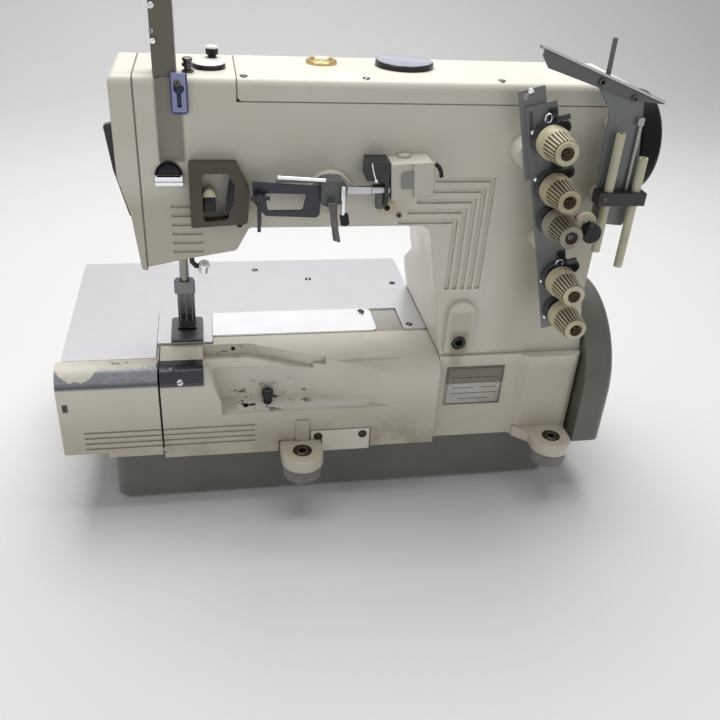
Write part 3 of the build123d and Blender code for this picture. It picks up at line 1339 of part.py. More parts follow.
def tension_knob(index):
    """Fluted tension knob with a skirt and a recessed face."""
    x, z = tension_point(TENSION_STEPS[index], 0)
    total = KNOB_FACE - KNOB_BASE
    profile = [
        (3.4, 0, 0),
        (KNOB_R + 1, 0, 0),
        (KNOB_R + 1, 7, 0),
        (KNOB_R, 9, 0),
        (KNOB_R - 1.2, 11, 0),
        (KNOB_R - 3, total - 1, 0),
        (KNOB_R - 4, total, 0),
        (5.5, total, 0),
        (4.5, total - 3, 0),
        (3.4, total - 3, 0),
    ]
    body = revolve(Plane.XZ * outline(profile), Axis.Z)
    for i in range(24):
        rib = Rot(0, -5, 0) * Box(1.6, 1.4, total - 12.5)
        body += Rot(0, 0, 15 * i) * Pos(KNOB_R - 2.1, 0, (11 + total - 1.5) / 2) * rib
    return Pos(x, TENSION_Y - KNOB_BASE, z) * TO_FRONT * body


def tension_hooks():
    """Thread hooks beside the first, second and fourth tensions."""
    hooks = []
    foot_y = TENSION_Y - 2.5 * TENSION_PLATE_T
    for step in (TENSION_STEPS[0], TENSION_STEPS[1], TENSION_STEPS[3]):
        x, z = tension_point(step - 18, 6)
        foot = tension_place(step - 18, 6, foot_y) * Box(7, TENSION_PLATE_T, 9)
        arm = bar_y(TENSION_Y - 20, foot_y, x, z, 1.6)
        tip = tension_place(step - 19, 9, TENSION_Y - 20) * Box(9, 2.5, 4)
        hooks.append(foot + arm + tip)
    return Compound(children=hooks)


def release_knob():
    """Small black knob on a post beside the third tension."""
    x, z = tension_point(*RELEASE_AT)
    profile = [(0, 24, 0), (8, 24, 0), (8.5, 32, 0), (7, 34, 0), (0, 34, 0)]
    knob = turned(profile, (x, TENSION_Y, z), TO_FRONT)
    return knob


def release_post():
    """Post and arm that carry the release knob."""
    x, z = tension_point(*RELEASE_AT)
    y = TENSION_Y - 1.5 * TENSION_PLATE_T
    arm = tension_place(RELEASE_AT[0], RELEASE_AT[1] - 7, y) * Box(24, TENSION_PLATE_T, 12)
    return arm + bar_y(TENSION_Y - 24 + GAP, y, x, z, 3.5)


# Thread stand at the arm's right end

STAND_Y = TENSION_Y
TUBES_X = (STAND_X - 5.0, STAND_X + 19.5)
TUBE_R = 3.8


def stand_plate():
    """Upright plate of the thread stand on two bosses."""
    plate = along_y([
        (STAND_X - 35, ARM_TOP + 12, 0),
        (STAND_X + 12, ARM_TOP - 4, 0),
        (STAND_X + 24, ARM_TOP - 84, 3),
        (STAND_X + 19, ARM_UNDER + 8, 3),
        (STAND_X - 11, ARM_UNDER + 11, 3),
        (STAND_X - 15, ARM_TOP - 15, 4),
    ], STAND_Y - 2.5, STAND_Y)
    rod = bar_z(ARM_UNDER + 42, ARM_TOP - 22, STAND_X + 13, STAND_Y - 5, 1.3)
    foot = block(STAND_X + 9, STAND_X + 15, STAND_Y - 6, STAND_Y - 2, ARM_TOP - 26, ARM_TOP - 20)
    return plate + rod + foot


def stand_channel():
    """Sloping thread guide channel across the top of the stand with its upright pin."""
    left = (STAND_X - 79, ARM_TOP + 32)
    right = (STAND_X + 29.5, ARM_TOP - 6.5)
    web = along_y([
        (*left, 0),
        (*right, 0),
        (right[0], right[1] - 2.5, 0),
        (STAND_X, ARM_TOP - 6, 0),
        (left[0] + 5, left[1] - 15, 0),
        (left[0] - 1, left[1] - 6, 0),
    ], STAND_Y - 4.5, STAND_Y - 2.5)
    lip = along_y([
        (*left, 0),
        (*right, 0),
        (right[0], right[1] - 2, 0),
        (left[0], left[1] - 2, 0),
    ], STAND_Y - 3.5, STAND_Y + 7.5)
    pin = bar_z(ARM_TOP + 10, ARM_TOP + 39.5, STAND_X - 21.5, STAND_Y + 1, 2)
    return web + lip + pin


def stand_clamp():
    """Clamp bar that holds both guide tubes on the stand's plate."""
    y0 = STAND_Y - 16
    clamp = block(STAND_X - 15, STAND_X + 27, y0, STAND_Y - 2.5, ARM_UNDER + 31, ARM_UNDER + 42)
    for x in TUBES_X:
        clamp -= bar_z(ARM_UNDER + 30, ARM_UNDER + 43, x, STAND_Y - 10, TUBE_R)
    return clamp


def guide_tubes():
    """Two plastic thread guide tubes."""
    tubes = []
    ends = ((ARM_UNDER - 12, ARM_TOP - 31), (ARM_UNDER - 27, ARM_TOP - 51))
    for x, (z0, z1) in zip(TUBES_X, ends):
        tube = bar_z(z0, z1, x, STAND_Y - 10, TUBE_R) - bar_z(z0 - 1, z1 + 1, x, STAND_Y - 10, 2)
        tubes.append(tube)
    return Compound(children=tubes)


def build_all():
    """Make and save every sub-part."""
    save("arm_casting", arm_casting())
    save("top_lid", top_lid())
    save("face_cover", face_cover())
    save("bed_casting", bed_casting() + slide_ledge())
    save("oil_pan", oil_pan())
    save("foot_cushions", foot_cushions())
    save("cloth_plate", cloth_plate())
    save("needle_plate", needle_plate())
    save("slide_plate", slide_plate())
    save("front_cover", front_cover())
    save("edge_band", edge_band())
    save("looper_cover", looper_cover())
    save("cover_hinge_pin", cover_hinge_pin())
    save("latch_plate", latch_plate())
    save("push_button", push_button())
    save("main_shaft", main_shaft())
    save("lower_shaft", lower_shaft())
    save("timing_belt", timing_belt())
    save("handwheel", handwheel())
    save("drive_pulley", drive_pulley())
    save("belt_cover", belt_cover())
    save("shaft_bushes", shaft_bushes())
    save("bar_bushes", bar_bushes())
    save("needle_bar", needle_bar())
    save("needle_clamp", needle_clamp())
    save("take_up_lever", take_up_lever())
    save("presser_bar", presser_bar())
    save("presser_foot", presser_foot())
    save("main_feed_dog", feed_dog(MAIN_DOG_Y, FEED_BARS[0]))
    save("front_feed_dog", feed_dog(FRONT_DOG_Y, FEED_BARS[1]))
    save("looper", looper())
    save("lifter_lever", lifter_lever())
    save("take_up_guard", take_up_guard())
    save("keyhole_guide", keyhole_guide())
    save("thread_pocket", thread_pocket())
    save("wiper_guard", wiper_guard())
    save("wiper_arm", wiper_arm())
    save("wiper_bracket", wiper_bracket())
    save("wiper_link", wiper_link())
    save("solenoid_box", solenoid_box())
    save("solenoid_bracket", solenoid_bracket())
    save("thread_eyelet", thread_eyelet())
    save("oil_cap", cap_disc(OIL_CAP_X, OIL_CAP_Y, OIL_CAP_R, 4.5, OIL_CAP_R - 5 - GAP, 5))
    save("head_plug", cap_disc(HEAD_PLUG_X, HEAD_PLUG_Y, HEAD_PLUG_R, 3.5, HEAD_PLUG_R - 3.1, 4))
    save("oil_sight", oil_sight())
    save("oil_sight_glass", oil_sight_glass())
    save("pressure_knob", pressure_knob())
    save("tension_plate", tension_plate() + release_post())
    save("tension_discs", tension_discs())
    for i in range(len(TENSION_STEPS)):
        save(f"tension_knob_{i + 1}", tension_knob(i))
    save("tension_hooks", tension_hooks())
    save("release_knob", release_knob())
    save("stand_plate", stand_plate())
    save("stand_channel", stand_channel())
    save("stand_clamp", stand_clamp())
    save("guide_tubes", guide_tubes())


build_all()
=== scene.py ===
from math import asin, cos, pi, radians, sin

import bmesh
import bpy
from mathutils import Matrix, Vector


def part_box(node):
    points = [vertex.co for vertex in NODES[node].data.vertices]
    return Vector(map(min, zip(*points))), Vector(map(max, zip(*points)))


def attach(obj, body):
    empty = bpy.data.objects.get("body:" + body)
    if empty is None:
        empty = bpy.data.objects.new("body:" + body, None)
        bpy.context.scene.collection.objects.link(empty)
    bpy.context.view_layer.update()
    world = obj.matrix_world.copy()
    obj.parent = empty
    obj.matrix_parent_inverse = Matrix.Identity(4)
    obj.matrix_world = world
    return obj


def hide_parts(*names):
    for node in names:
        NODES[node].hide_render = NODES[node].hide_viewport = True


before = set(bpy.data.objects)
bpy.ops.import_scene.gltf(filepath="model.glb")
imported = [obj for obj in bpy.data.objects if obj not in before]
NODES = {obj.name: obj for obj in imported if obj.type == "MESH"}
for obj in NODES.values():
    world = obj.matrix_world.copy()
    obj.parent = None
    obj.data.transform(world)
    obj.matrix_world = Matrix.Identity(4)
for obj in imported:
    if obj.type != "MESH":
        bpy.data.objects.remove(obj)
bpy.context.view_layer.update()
MM = 0.001


# Places taken from the frame, in millimetres


def in_mm(box):
    """Low corner, high corner and middle of a node's box."""
    low, high = box
    return low / MM, high / MM, (low + high) / 2 / MM


ARM_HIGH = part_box("arm_casting")[1] / MM
LID_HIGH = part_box("top_lid")[1] / MM
FACE_COVER_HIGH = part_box("face_cover")[1] / MM
PLATE_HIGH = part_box("cloth_plate")[1] / MM
SLIDE_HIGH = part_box("slide_plate")[1] / MM
PAN_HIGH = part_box("oil_pan")[1] / MM
BELT_COVER_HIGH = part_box("belt_cover")[1] / MM
GUARD_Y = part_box("take_up_guard")[0].y / MM
GUIDE_LOW, GUIDE_HIGH, _ = in_mm(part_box("keyhole_guide"))
KNOB_LOW, KNOB_HIGH, _ = in_mm(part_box("tension_knob_1"))
KNOB_FRONT_Y = KNOB_LOW.y
KNOB_SKIRT_Y = KNOB_HIGH.y - 11.0
KNOB_RIB_R = 11.3
KNOB_RECESS_R = 5.5
KNOB_TAPER = 0.09


# Shader helpers, which add their nodes to the tree of the sockets that they are given


def new_material(name):
    """Material with a bare Principled shader and object coordinates."""
    mat = bpy.data.materials.new(name)
    mat.use_nodes = True
    tree = mat.node_tree
    shader = tree.nodes["Principled BSDF"]
    coords = tree.nodes.new("ShaderNodeTexCoord").outputs["Object"]
    return mat, tree, shader, coords


def link(source, target):
    """Connects two sockets of one node tree."""
    source.id_data.links.new(source, target)


def wire(shader, colour, rough, normal):
    """Connects a shader's colour, roughness and normal."""
    link(colour, shader.inputs["Base Color"])
    link(rough, shader.inputs["Roughness"])
    link(normal, shader.inputs["Normal"])


def srgb(red, green, blue):
    """Linear colour from 0 to 255 display values."""
    def one(value):
        value /= 255
        return value / 12.92 if value <= 0.04045 else ((value + 0.055) / 1.055) ** 2.4
    return one(red), one(green), one(blue), 1.0


def darker(colour, share):
    """Colour cut to a share of its light."""
    return tuple(share * c for c in colour[:3]) + (1.0,)


def noise(coords, scale, detail=3.0, rough=0.55, stretch=(1, 1, 1), shift=(0, 0, 0)):
    """Noise value in object space; scale counts cells per metre."""
    nodes = coords.id_data.nodes
    place = nodes.new("ShaderNodeMapping")
    place.inputs["Scale"].default_value = stretch
    place.inputs["Location"].default_value = shift
    link(coords, place.inputs["Vector"])
    tex = nodes.new("ShaderNodeTexNoise")
    tex.inputs["Scale"].default_value = scale
    tex.inputs["Detail"].default_value = detail
    tex.inputs["Roughness"].default_value = rough
    link(place.outputs["Vector"], tex.inputs["Vector"])
    return tex.outputs["Fac"]


def ramp(value, low, high, to_low=0.0, to_high=1.0):
    """Value mapped smoothly from low..high to to_low..to_high."""
    node = value.id_data.nodes.new("ShaderNodeMapRange")
    node.interpolation_type = "SMOOTHSTEP"
    node.inputs["From Min"].default_value = low
    node.inputs["From Max"].default_value = high
    node.inputs["To Min"].default_value = to_low
    node.inputs["To Max"].default_value = to_high
    link(value, node.inputs["Value"])
    return node.outputs["Result"]


def across(length, start, end):
    """0 at the start and 1 at the end of a stretch in millimetres."""
    return ramp(length, start * MM, end * MM)


def maths(operation, a, b=None):
    """Math node on a socket and another one or a number."""
    socket = b if isinstance(a, (int, float)) else a
    node = socket.id_data.nodes.new("ShaderNodeMath")
    node.operation = operation
    for socket, value in zip(node.inputs, (a, b)):
        if value is None:
            continue
        if isinstance(value, (int, float)):
            socket.default_value = value
        else:
            link(value, socket)
    return node.outputs["Value"]


def product(*factors):
    """Sockets or numbers multiplied with each other."""
    value = factors[0]
    for factor in factors[1:]:
        value = maths("MULTIPLY", value, factor)
    return value


def largest(*values):
    """Largest of some sockets."""
    value = values[0]
    for other in values[1:]:
        value = maths("MAXIMUM", value, other)
    return value


def away(socket, middle):
    """Distance of a coordinate from a place in millimetres, itself in metres."""
    return maths("ABSOLUTE", maths("SUBTRACT", socket, middle * MM))


def mixed(factor, a, b):
    """Colour mix; a and b are colours or sockets."""
    node = factor.id_data.nodes.new("ShaderNodeMix")
    node.data_type = "RGBA"
    link(factor, node.inputs["Factor"])
    for socket, value in ((node.inputs["A"], a), (node.inputs["B"], b)):
        if isinstance(value, tuple):
            socket.default_value = value
        else:
            link(value, socket)
    return node.outputs["Result"]


def layered(base, *layers):
    """Base colour under layers, each a colour, a mask and a strength."""
    for colour, mask, strength in layers:
        if strength < 1:
            mask = product(mask, strength)
        base = mixed(mask, base, colour)
    return base


def bumped(height, distance, strength, before):
    """Bump from a height value, on top of the normal before."""
    node = height.id_data.nodes.new("ShaderNodeBump")
    node.inputs["Strength"].default_value = strength
    node.inputs["Distance"].default_value = distance
    link(height, node.inputs["Height"])
    link(before, node.inputs["Normal"])
    return node.outputs["Normal"]


def rounded(tree, radius):
    """Normal with the sharp edges rounded off."""
    node = tree.nodes.new("ShaderNodeBevel")
    node.samples = 4
    node.inputs["Radius"].default_value = radius
    return node.outputs["Normal"]


def edge_mask(soft):
    """1 on the sharp edges that the soft normal rounds off, 0 on open faces."""
    nodes = soft.id_data.nodes
    flat = nodes.new("ShaderNodeNewGeometry").outputs["Normal"]
    dot = nodes.new("ShaderNodeVectorMath")
    dot.operation = "DOT_PRODUCT"
    link(soft, dot.inputs[0])
    link(flat, dot.inputs[1])
    return ramp(dot.outputs["Value"], 0.99, 0.86)


def shade_and_grime_mask(tree, distance):
    """Painted shade with grime: 1 deep in corners, where the ambient occlusion is strong, 0 on open faces.
    """
    node = tree.nodes.new("ShaderNodeAmbientOcclusion")
    node.samples = 4
    node.inputs["Distance"].default_value = distance
    return ramp(node.outputs["AO"], 0.85, 0.35)


def axes_of(coords):
    """The three object coordinates as separate sockets."""
    split = coords.id_data.nodes.new("ShaderNodeSeparateXYZ")
    link(coords, split.inputs["Vector"])
    return split.outputs["X"], split.outputs["Y"], split.outputs["Z"]


def inside(axes, spans, soft):
    """1 inside the spans of X, Y and Z in millimetres, where None is no limit, with a soft border."""
    masks = []
    for socket, span in zip(axes, spans):
        if span is not None:
            low, high = span
            half = (high - low) / 2
            distance = away(socket, (low + high) / 2)
            masks.append(across(distance, half + soft / 2, half - soft / 2))
    return product(*masks)


def marked(coords, base, marks):
    """Base colour with marks, each a colour, spans in millimetres, softness and strength."""
    axes = axes_of(coords)
    return layered(base, *((colour, inside(axes, spans, soft), strength)
                           for colour, spans, soft, strength in marks))


# Kinds of material. Noise scales are cells per metre; edge and bump lengths are metres.

PEEL_GRAIN, PEEL_DEPTH = 700, 0.0001
METAL_EDGE, METAL_DEPTH = 0.0006, 0.00002
PLASTIC_GRAIN, PLASTIC_EDGE, PLASTIC_DEPTH = 500, 0.0005, 0.00006
KNOB_EDGE, KNOB_DEPTH = 0.0004, 0.00005


def enamel_bump(coords, bare, sunk, strength, soft):
    """Orange peel of enamel, sunk where it is worn off."""
    peel = maths("SUBTRACT", noise(coords, PEEL_GRAIN, 2), product(bare, sunk))
    return bumped(peel, PEEL_DEPTH, strength, soft)


def worn_paint(name, colour, stain, chip, rough, chips, edge=0.001, marks=()):
    """Old enamel: faint stains, painted shade with grime deep in corners, orange peel and patches of chips.

    chip is the colour below, chips how common the chips are, and edge the width of a worn edge."""
    mat, tree, shader, coords = new_material(name)
    large = ramp(noise(coords, 9, 4), 0.45, 0.75)
    small = ramp(noise(coords, 60, 5, 0.7, shift=(3, 1, 2)), 0.55, 0.8)
    soft = rounded(tree, edge)
    patch = ramp(noise(coords, 14, 3, shift=(5, 2, 8)), 0.62 - 0.12 * chips, 0.68 - 0.08 * chips)
    flakes = ramp(noise(coords, 210, 4, 0.65, shift=(7, 5, 1)), 0.50, 0.55)
    spots = ramp(noise(coords, 95, 6, 0.72, shift=(2, 9, 4)), 0.73, 0.745)
    worn = product(largest(product(edge_mask(soft), flakes), spots), patch)
    base = layered(colour, (stain, large, 0.30), (stain, small, 0.16),
                   (darker(stain, 0.4), shade_and_grime_mask(tree, 0.005), 0.28), (chip, worn, 1))
    gloss = ramp(noise(coords, 35, 3), 0.3, 0.8, rough - 0.06, rough + 0.10)
    gloss = maths("ADD", gloss, product(worn, 0.2))
    wire(shader, marked(coords, base, marks), gloss, enamel_bump(coords, worn, 1.5, 0.3, soft))
    return mat


def metal(name, colour, rough, grain, stain, streak=(1, 1, 1), tint=None, marks=(), spread=1.0):
    """Bare metal with smudges of a tint, darker stains, and grinding marks that differ in gloss.

    The grinding has grain times streak cells per metre on each axis; spread scales its gloss and depth."""
    mat, tree, shader, coords = new_material(name)
    shader.inputs["Metallic"].default_value = 1.0
    smudge = ramp(noise(coords, 22, 4, 0.6), 0.45, 0.75)
    spots = ramp(noise(coords, 240, 4, 0.7, shift=(4, 4, 4)), 0.62, 0.74)
    dark = darker(colour, 0.55)
    base = layered(colour, (tint or dark, smudge, stain), (dark, spots, 0.5 * stain))
    grit = noise(coords, grain, 2, 0.5, streak)
    gloss = ramp(grit, 0.2, 0.8, rough - 0.07 * spread, rough + 0.10 * spread)
    wire(shader, marked(coords, base, marks), gloss,
         bumped(grit, METAL_DEPTH * spread, 0.35, rounded(tree, METAL_EDGE)))
    return mat


def plastic(name, colour, stain, rough, gloss=0.5):
    """Moulded plastic with handling dirt; gloss is the level of its reflection."""
    mat, tree, shader, coords = new_material(name)
    patch = ramp(noise(coords, 45, 4, 0.6), 0.4, 0.75)
    # Handling dirt in patches, then painted shade with grime deep in corners
    base = layered(colour, (stain, patch, 0.45), (darker(stain, 0.3), shade_and_grime_mask(tree, 0.006), 0.7))
    shader.inputs["Specular IOR Level"].default_value = gloss
    grain = noise(coords, PLASTIC_GRAIN, 2)
    wire(shader, base, ramp(patch, 0, 1, rough, rough + 0.12),
         bumped(grain, PLASTIC_DEPTH, 0.3, rounded(tree, PLASTIC_EDGE)))
    return mat


def fluted(name, tones, axis_x, axis_z):
    """Knob plastic in two tones, with dark grime between the flutes and in the screw's recess.

    The flutes are found by their distance from the knob's axis, which is at X and Z in millimetres."""
    mat, tree, shader, coords = new_material(name)
    x, y, z = axes_of(coords)
    dx = maths("SUBTRACT", x, axis_x * MM)
    dz = maths("SUBTRACT", z, axis_z * MM)
    radius = maths("SQRT", maths("ADD", product(dx, dx), product(dz, dz)))
    depth = maths("SUBTRACT", KNOB_SKIRT_Y * MM, y)
    level = maths("ADD", radius, product(depth, KNOB_TAPER))
    inner = across(level, KNOB_RIB_R + 0.7, KNOB_RIB_R + 0.2)
    outer = across(level, KNOB_RIB_R - 2.0, KNOB_RIB_R - 1.2)
    front = across(y, KNOB_FRONT_Y + 0.8, KNOB_FRONT_Y + 1.6)
    back = across(y, KNOB_SKIRT_Y + 0.4, KNOB_SKIRT_Y - 0.4)
    groove = product(inner, outer, product(front, back))
    colour, stain = tones
    patch = ramp(noise(coords, 60, 4, 0.6), 0.4, 0.75)
    recess = across(radius, KNOB_RECESS_R + 0.3, KNOB_RECESS_R - 0.3)
    # The third layer is painted shade with grime deep in corners
    base = layered(colour, (stain, patch, 0.5), (srgb(46, 34, 24), groove, 0.85),
                   (srgb(70, 56, 40), shade_and_grime_mask(tree, 0.005), 0.5), (srgb(58, 42, 28), recess, 0.85))
    grain = noise(coords, PLASTIC_GRAIN, 2)
    wire(shader, base, ramp(patch, 0, 1, 0.34, 0.5),
         bumped(grain, KNOB_DEPTH, 0.3, rounded(tree, KNOB_EDGE)))
    return mat


def glass(name):
    """Slightly yellow glass of the oil sight."""
    mat, _, shader, coords = new_material(name)
    tone = ramp(noise(coords, 120, 2), 0.3, 0.7)
    base = mixed(tone, srgb(226, 206, 150), srgb(206, 178, 110))
    link(base, shader.inputs["Base Color"])
    shader.inputs["Roughness"].default_value = 0.06
    shader.inputs["Transmission Weight"].default_value = 0.6
    shader.inputs["Coat Weight"].default_value = 1.0
    return mat


# Colours and marks of this machine. A mark has a colour, spans of X, Y and Z in millimetres,
# the width of its soft border and a strength.

CREAM = srgb(219, 215, 202)
CREAM_STAIN = srgb(186, 176, 148)
CHIP = srgb(70, 62, 52)
SEAM = srgb(96, 88, 68)
SHADOW = srgb(96, 92, 80)
BLACK = srgb(20, 20, 24)
RULE = srgb(64, 60, 56)
GUIDE_RIM = srgb(44, 52, 104)

ARM_MARKS = (
    (srgb(84, 72, 52), ((-50, 16), (-75, -45), (228, 247)), 9.0, 0.55),
    # Painted shade on the lower front of the head, with some oil stain
    (srgb(158, 148, 124), ((-60, 66), (-75, -45), (225, 318)), 26.0, 0.45),
    # Painted shade on the column's front, where the light falls off to the right
    (srgb(164, 154, 130), ((292, 390), (-75, -45), (140, 372)), 36.0, 0.42),
    (SHADOW, ((-11, 9), (-67, -50), (347, 411)), 3.0, 0.72),
    (SEAM, ((-27.7, -26.2), None, None), 0.5, 0.85),
    (SEAM, ((49.6, 372), (-70, 40), (393.9, 395.0)), 0.5, 0.8),
    (SEAM, ((49.3, 50.6), None, (393.9, 420)), 0.5, 0.8),
    (srgb(168, 160, 138), ((241, 265), (-68, -58), (160, 205)), 9.0, 0.55),
    (srgb(112, 98, 72), ((245, 262), (-68, -58), (157, 184)), 8.0, 0.6),
)
LEDGE_MARKS = (
    # Painted shade on the front of the bed, where the light falls off low down
    (srgb(168, 158, 134), (None, (-110, -55), (30, 150)), 24.0, 0.5),
    (srgb(128, 118, 98), ((248, 260), (-68, -58), (143, 160)), 8.0, 0.5),
    (srgb(150, 148, 146), ((22, 216), (-8, 41), (150, 155.2)), 0.4, 0.8),
)
BAND_MARKS = ((srgb(170, 166, 156), (None, None, (138.6, 139.7)), 0.3, 0.9),)
# Painted shade: the upper half of the thread pocket is black for the shade inside it
POCKET_SHADE_MARKS = ((BLACK, (None, None, (336.6, 360)), 0.3, 1.0),)
ROD_MARKS = ((srgb(196, 194, 186), ((370, 376), (-96, -88.6), (325, 395)), 0.2, 1.0),)
GUIDE_MARKS = tuple((GUIDE_RIM, spans, 0.4, 0.95) for spans in (
    ((GUIDE_LOW.x - 1, GUIDE_LOW.x + 1.3), None, None),
    ((GUIDE_HIGH.x - 1.3, GUIDE_HIGH.x + 1), None, None),
    (None, None, (GUIDE_LOW.z - 1, GUIDE_LOW.z + 1.5)),
))

# Ruled lines of the bare nameplate: X of both ends and Z of the lower edge
RULE_H = 0.9
RULES = ((252, 300, 130.0), (252, 276, 118.2), (282, 300, 118.2), (252, 300, 111.6), (262, 292, 105.2))
NAMEPLATE_MARKS = ((srgb(92, 88, 82), (None, None, (123.5, 143)), 0.4, 0.85),) + tuple(
    (RULE, ((start, end), None, (z, z + RULE_H)), 0.2, 0.8) for start, end, z in RULES)

# The rolled edge of the hinged cover: bare steel from ROLL_FOOT_Z up to ROLL_WORN_Z and in front of
# ROLL_BACK_Y, with the enamel worn lower by ROLL_DIP at ROLL_DIP_X
ROLL_FOOT_Z = 141.2
ROLL_WORN_Z = 156.2
ROLL_BACK_Y = -46
ROLL_DIP_X = -97
ROLL_DIP = 8.5
ROLL_MARKS = (
    (srgb(96, 88, 76), (None, None, (140.2, 141.5)), 0.5, 0.5),
    # A dark patch for a small hole, as painted shade inside it
    (srgb(44, 44, 42), ((-112, -107), (-70, -67), (117.5, 126)), 1.5, 1.0),
)

# Areas of the front cover with their own wear, and the tray's floor, painted lighter as lit: spans of X, Y
# and Z, and the soft border
RUST_BY_LUG = ((88, 118), (-72, -64), (60, 92)), 14
# Painted light: the tray's floor is painted lighter where light falls on it
TRAY_FLOOR_LIT = ((44, 170), (-66, -36), (100, 112)), 5
ROUND_BUTTON = ((38, 112), (-68, -38), (104, 128)), 14
TRAY_RIM = ((24, 190), (-62, -18), (144, 158)), 8
COVER_FRONT = ((-26, 240), (-72, -66), (60, 160)), 6


def rolled_steel(name):
    """Cream enamel worn through to bright steel along the rolled edge, with ragged remnants above; painted
    shade makes the cream darker towards the bottom and in corners, and the steel carries a painted highlight
    along the roll.
    """
    mat, tree, shader, coords = new_material(name)
    x, y, z = axes_of(coords)
    dip = product(across(away(x, ROLL_DIP_X), 22, 4), ROLL_DIP * MM)
    ragged = ramp(noise(coords, 90, 5, 0.7), 0.3, 0.7, -2.0 * MM, 1.2 * MM)
    border = maths("ADD", maths("SUBTRACT", ROLL_WORN_Z * MM, dip), ragged)
    above = across(maths("SUBTRACT", z, border), -0.2, 0.2)
    flecks = ramp(noise(coords, 240, 4, 0.7, shift=(1, 3, 2)), 0.66, 0.68)
    bare = product(maths("SUBTRACT", 1.0, above), across(z, ROLL_FOOT_Z, ROLL_FOOT_Z + 0.6),
                   across(y, ROLL_BACK_Y, ROLL_BACK_Y - 2))
    large = ramp(noise(coords, 12, 4), 0.42, 0.72)
    # Painted shade: the cream darkens towards the bottom, and with grime deep in corners; the flecks are
    # chips
    cream = layered(CREAM, (CREAM_STAIN, large, 0.3), (srgb(164, 155, 132), across(z, 142, 75), 0.6),
                    (srgb(92, 82, 62), shade_and_grime_mask(tree, 0.005), 0.45),
                    (srgb(86, 76, 62), product(above, flecks), 0.85))
    cream = marked(coords, cream, ROLL_MARKS)
    lines = noise(coords, 160, 2, 0.5, (1, 14, 14))
    # Painted highlight: the steel is lightest in a band along the roll and painted darker below and above it
    steel = layered(srgb(124, 125, 129), (srgb(160, 161, 165), ramp(lines, 0.3, 0.7), 1),
                    (srgb(70, 72, 78), across(z, 147.5, 142.5), 0.8),
                    (srgb(84, 84, 86), across(z, 151.2, 155.5), 0.8))
    link(bare, shader.inputs["Metallic"])
    wire(shader, mixed(bare, cream, steel), ramp(bare, 0, 1, 0.42, 0.32),
         enamel_bump(coords, bare, 2.0, 0.3, rounded(tree, 0.001)))
    return mat


def tray_paint(name):
    """Cream enamel of the front cover: chips round the tray's button, brown grime by the lug, painted shade
    towards the bottom and in corners, and painted light on the tray's floor.
    """
    mat, tree, shader, coords = new_material(name)
    axes = axes_of(coords)
    large = ramp(noise(coords, 11, 4), 0.42, 0.72)
    cloudy = ramp(noise(coords, 26, 5, 0.6, shift=(4, 1, 7)), 0.4, 0.7)
    low = across(axes[2], 105, 70)
    rust = inside(axes, *RUST_BY_LUG)
    flakes = noise(coords, 130, 5, 0.7, (0.55, 1, 1.5), (2, 9, 4))
    patch = ramp(noise(coords, 13, 3, shift=(5, 2, 8)), 0.5, 0.62)
    soft = rounded(tree, 0.0014)
    by_button = product(inside(axes, *ROUND_BUTTON), ramp(flakes, 0.578, 0.593))
    on_rim = product(inside(axes, *TRAY_RIM), patch, ramp(flakes, 0.61, 0.625))
    on_front = product(inside(axes, *COVER_FRONT), patch, ramp(flakes, 0.68, 0.695))
    on_edges = product(edge_mask(soft), patch, ramp(flakes, 0.5, 0.53))
    chipped = largest(by_button, on_rim, on_front, on_edges)
    # Painted shade darkens the cover towards the bottom and, with grime, deep in corners; a cloudy layer
    # darkens it below the tray; painted light brightens the tray's floor
    base = layered(CREAM, (CREAM_STAIN, large, 0.35),
                   (srgb(166, 157, 134), across(axes[2], 150, 75), 0.55),
                   (srgb(132, 121, 100), product(low, cloudy), 0.65),
                   (srgb(98, 70, 44), product(rust, cloudy), 0.75),
                   (srgb(88, 78, 60), shade_and_grime_mask(tree, 0.006), 0.28),
                   (srgb(236, 234, 226), inside(axes, *TRAY_FLOOR_LIT), 0.6),
                   (srgb(62, 52, 42), chipped, 1))
    wire(shader, base, ramp(cloudy, 0, 1, 0.38, 0.5), enamel_bump(coords, chipped, 2.0, 0.35, soft))
    return mat


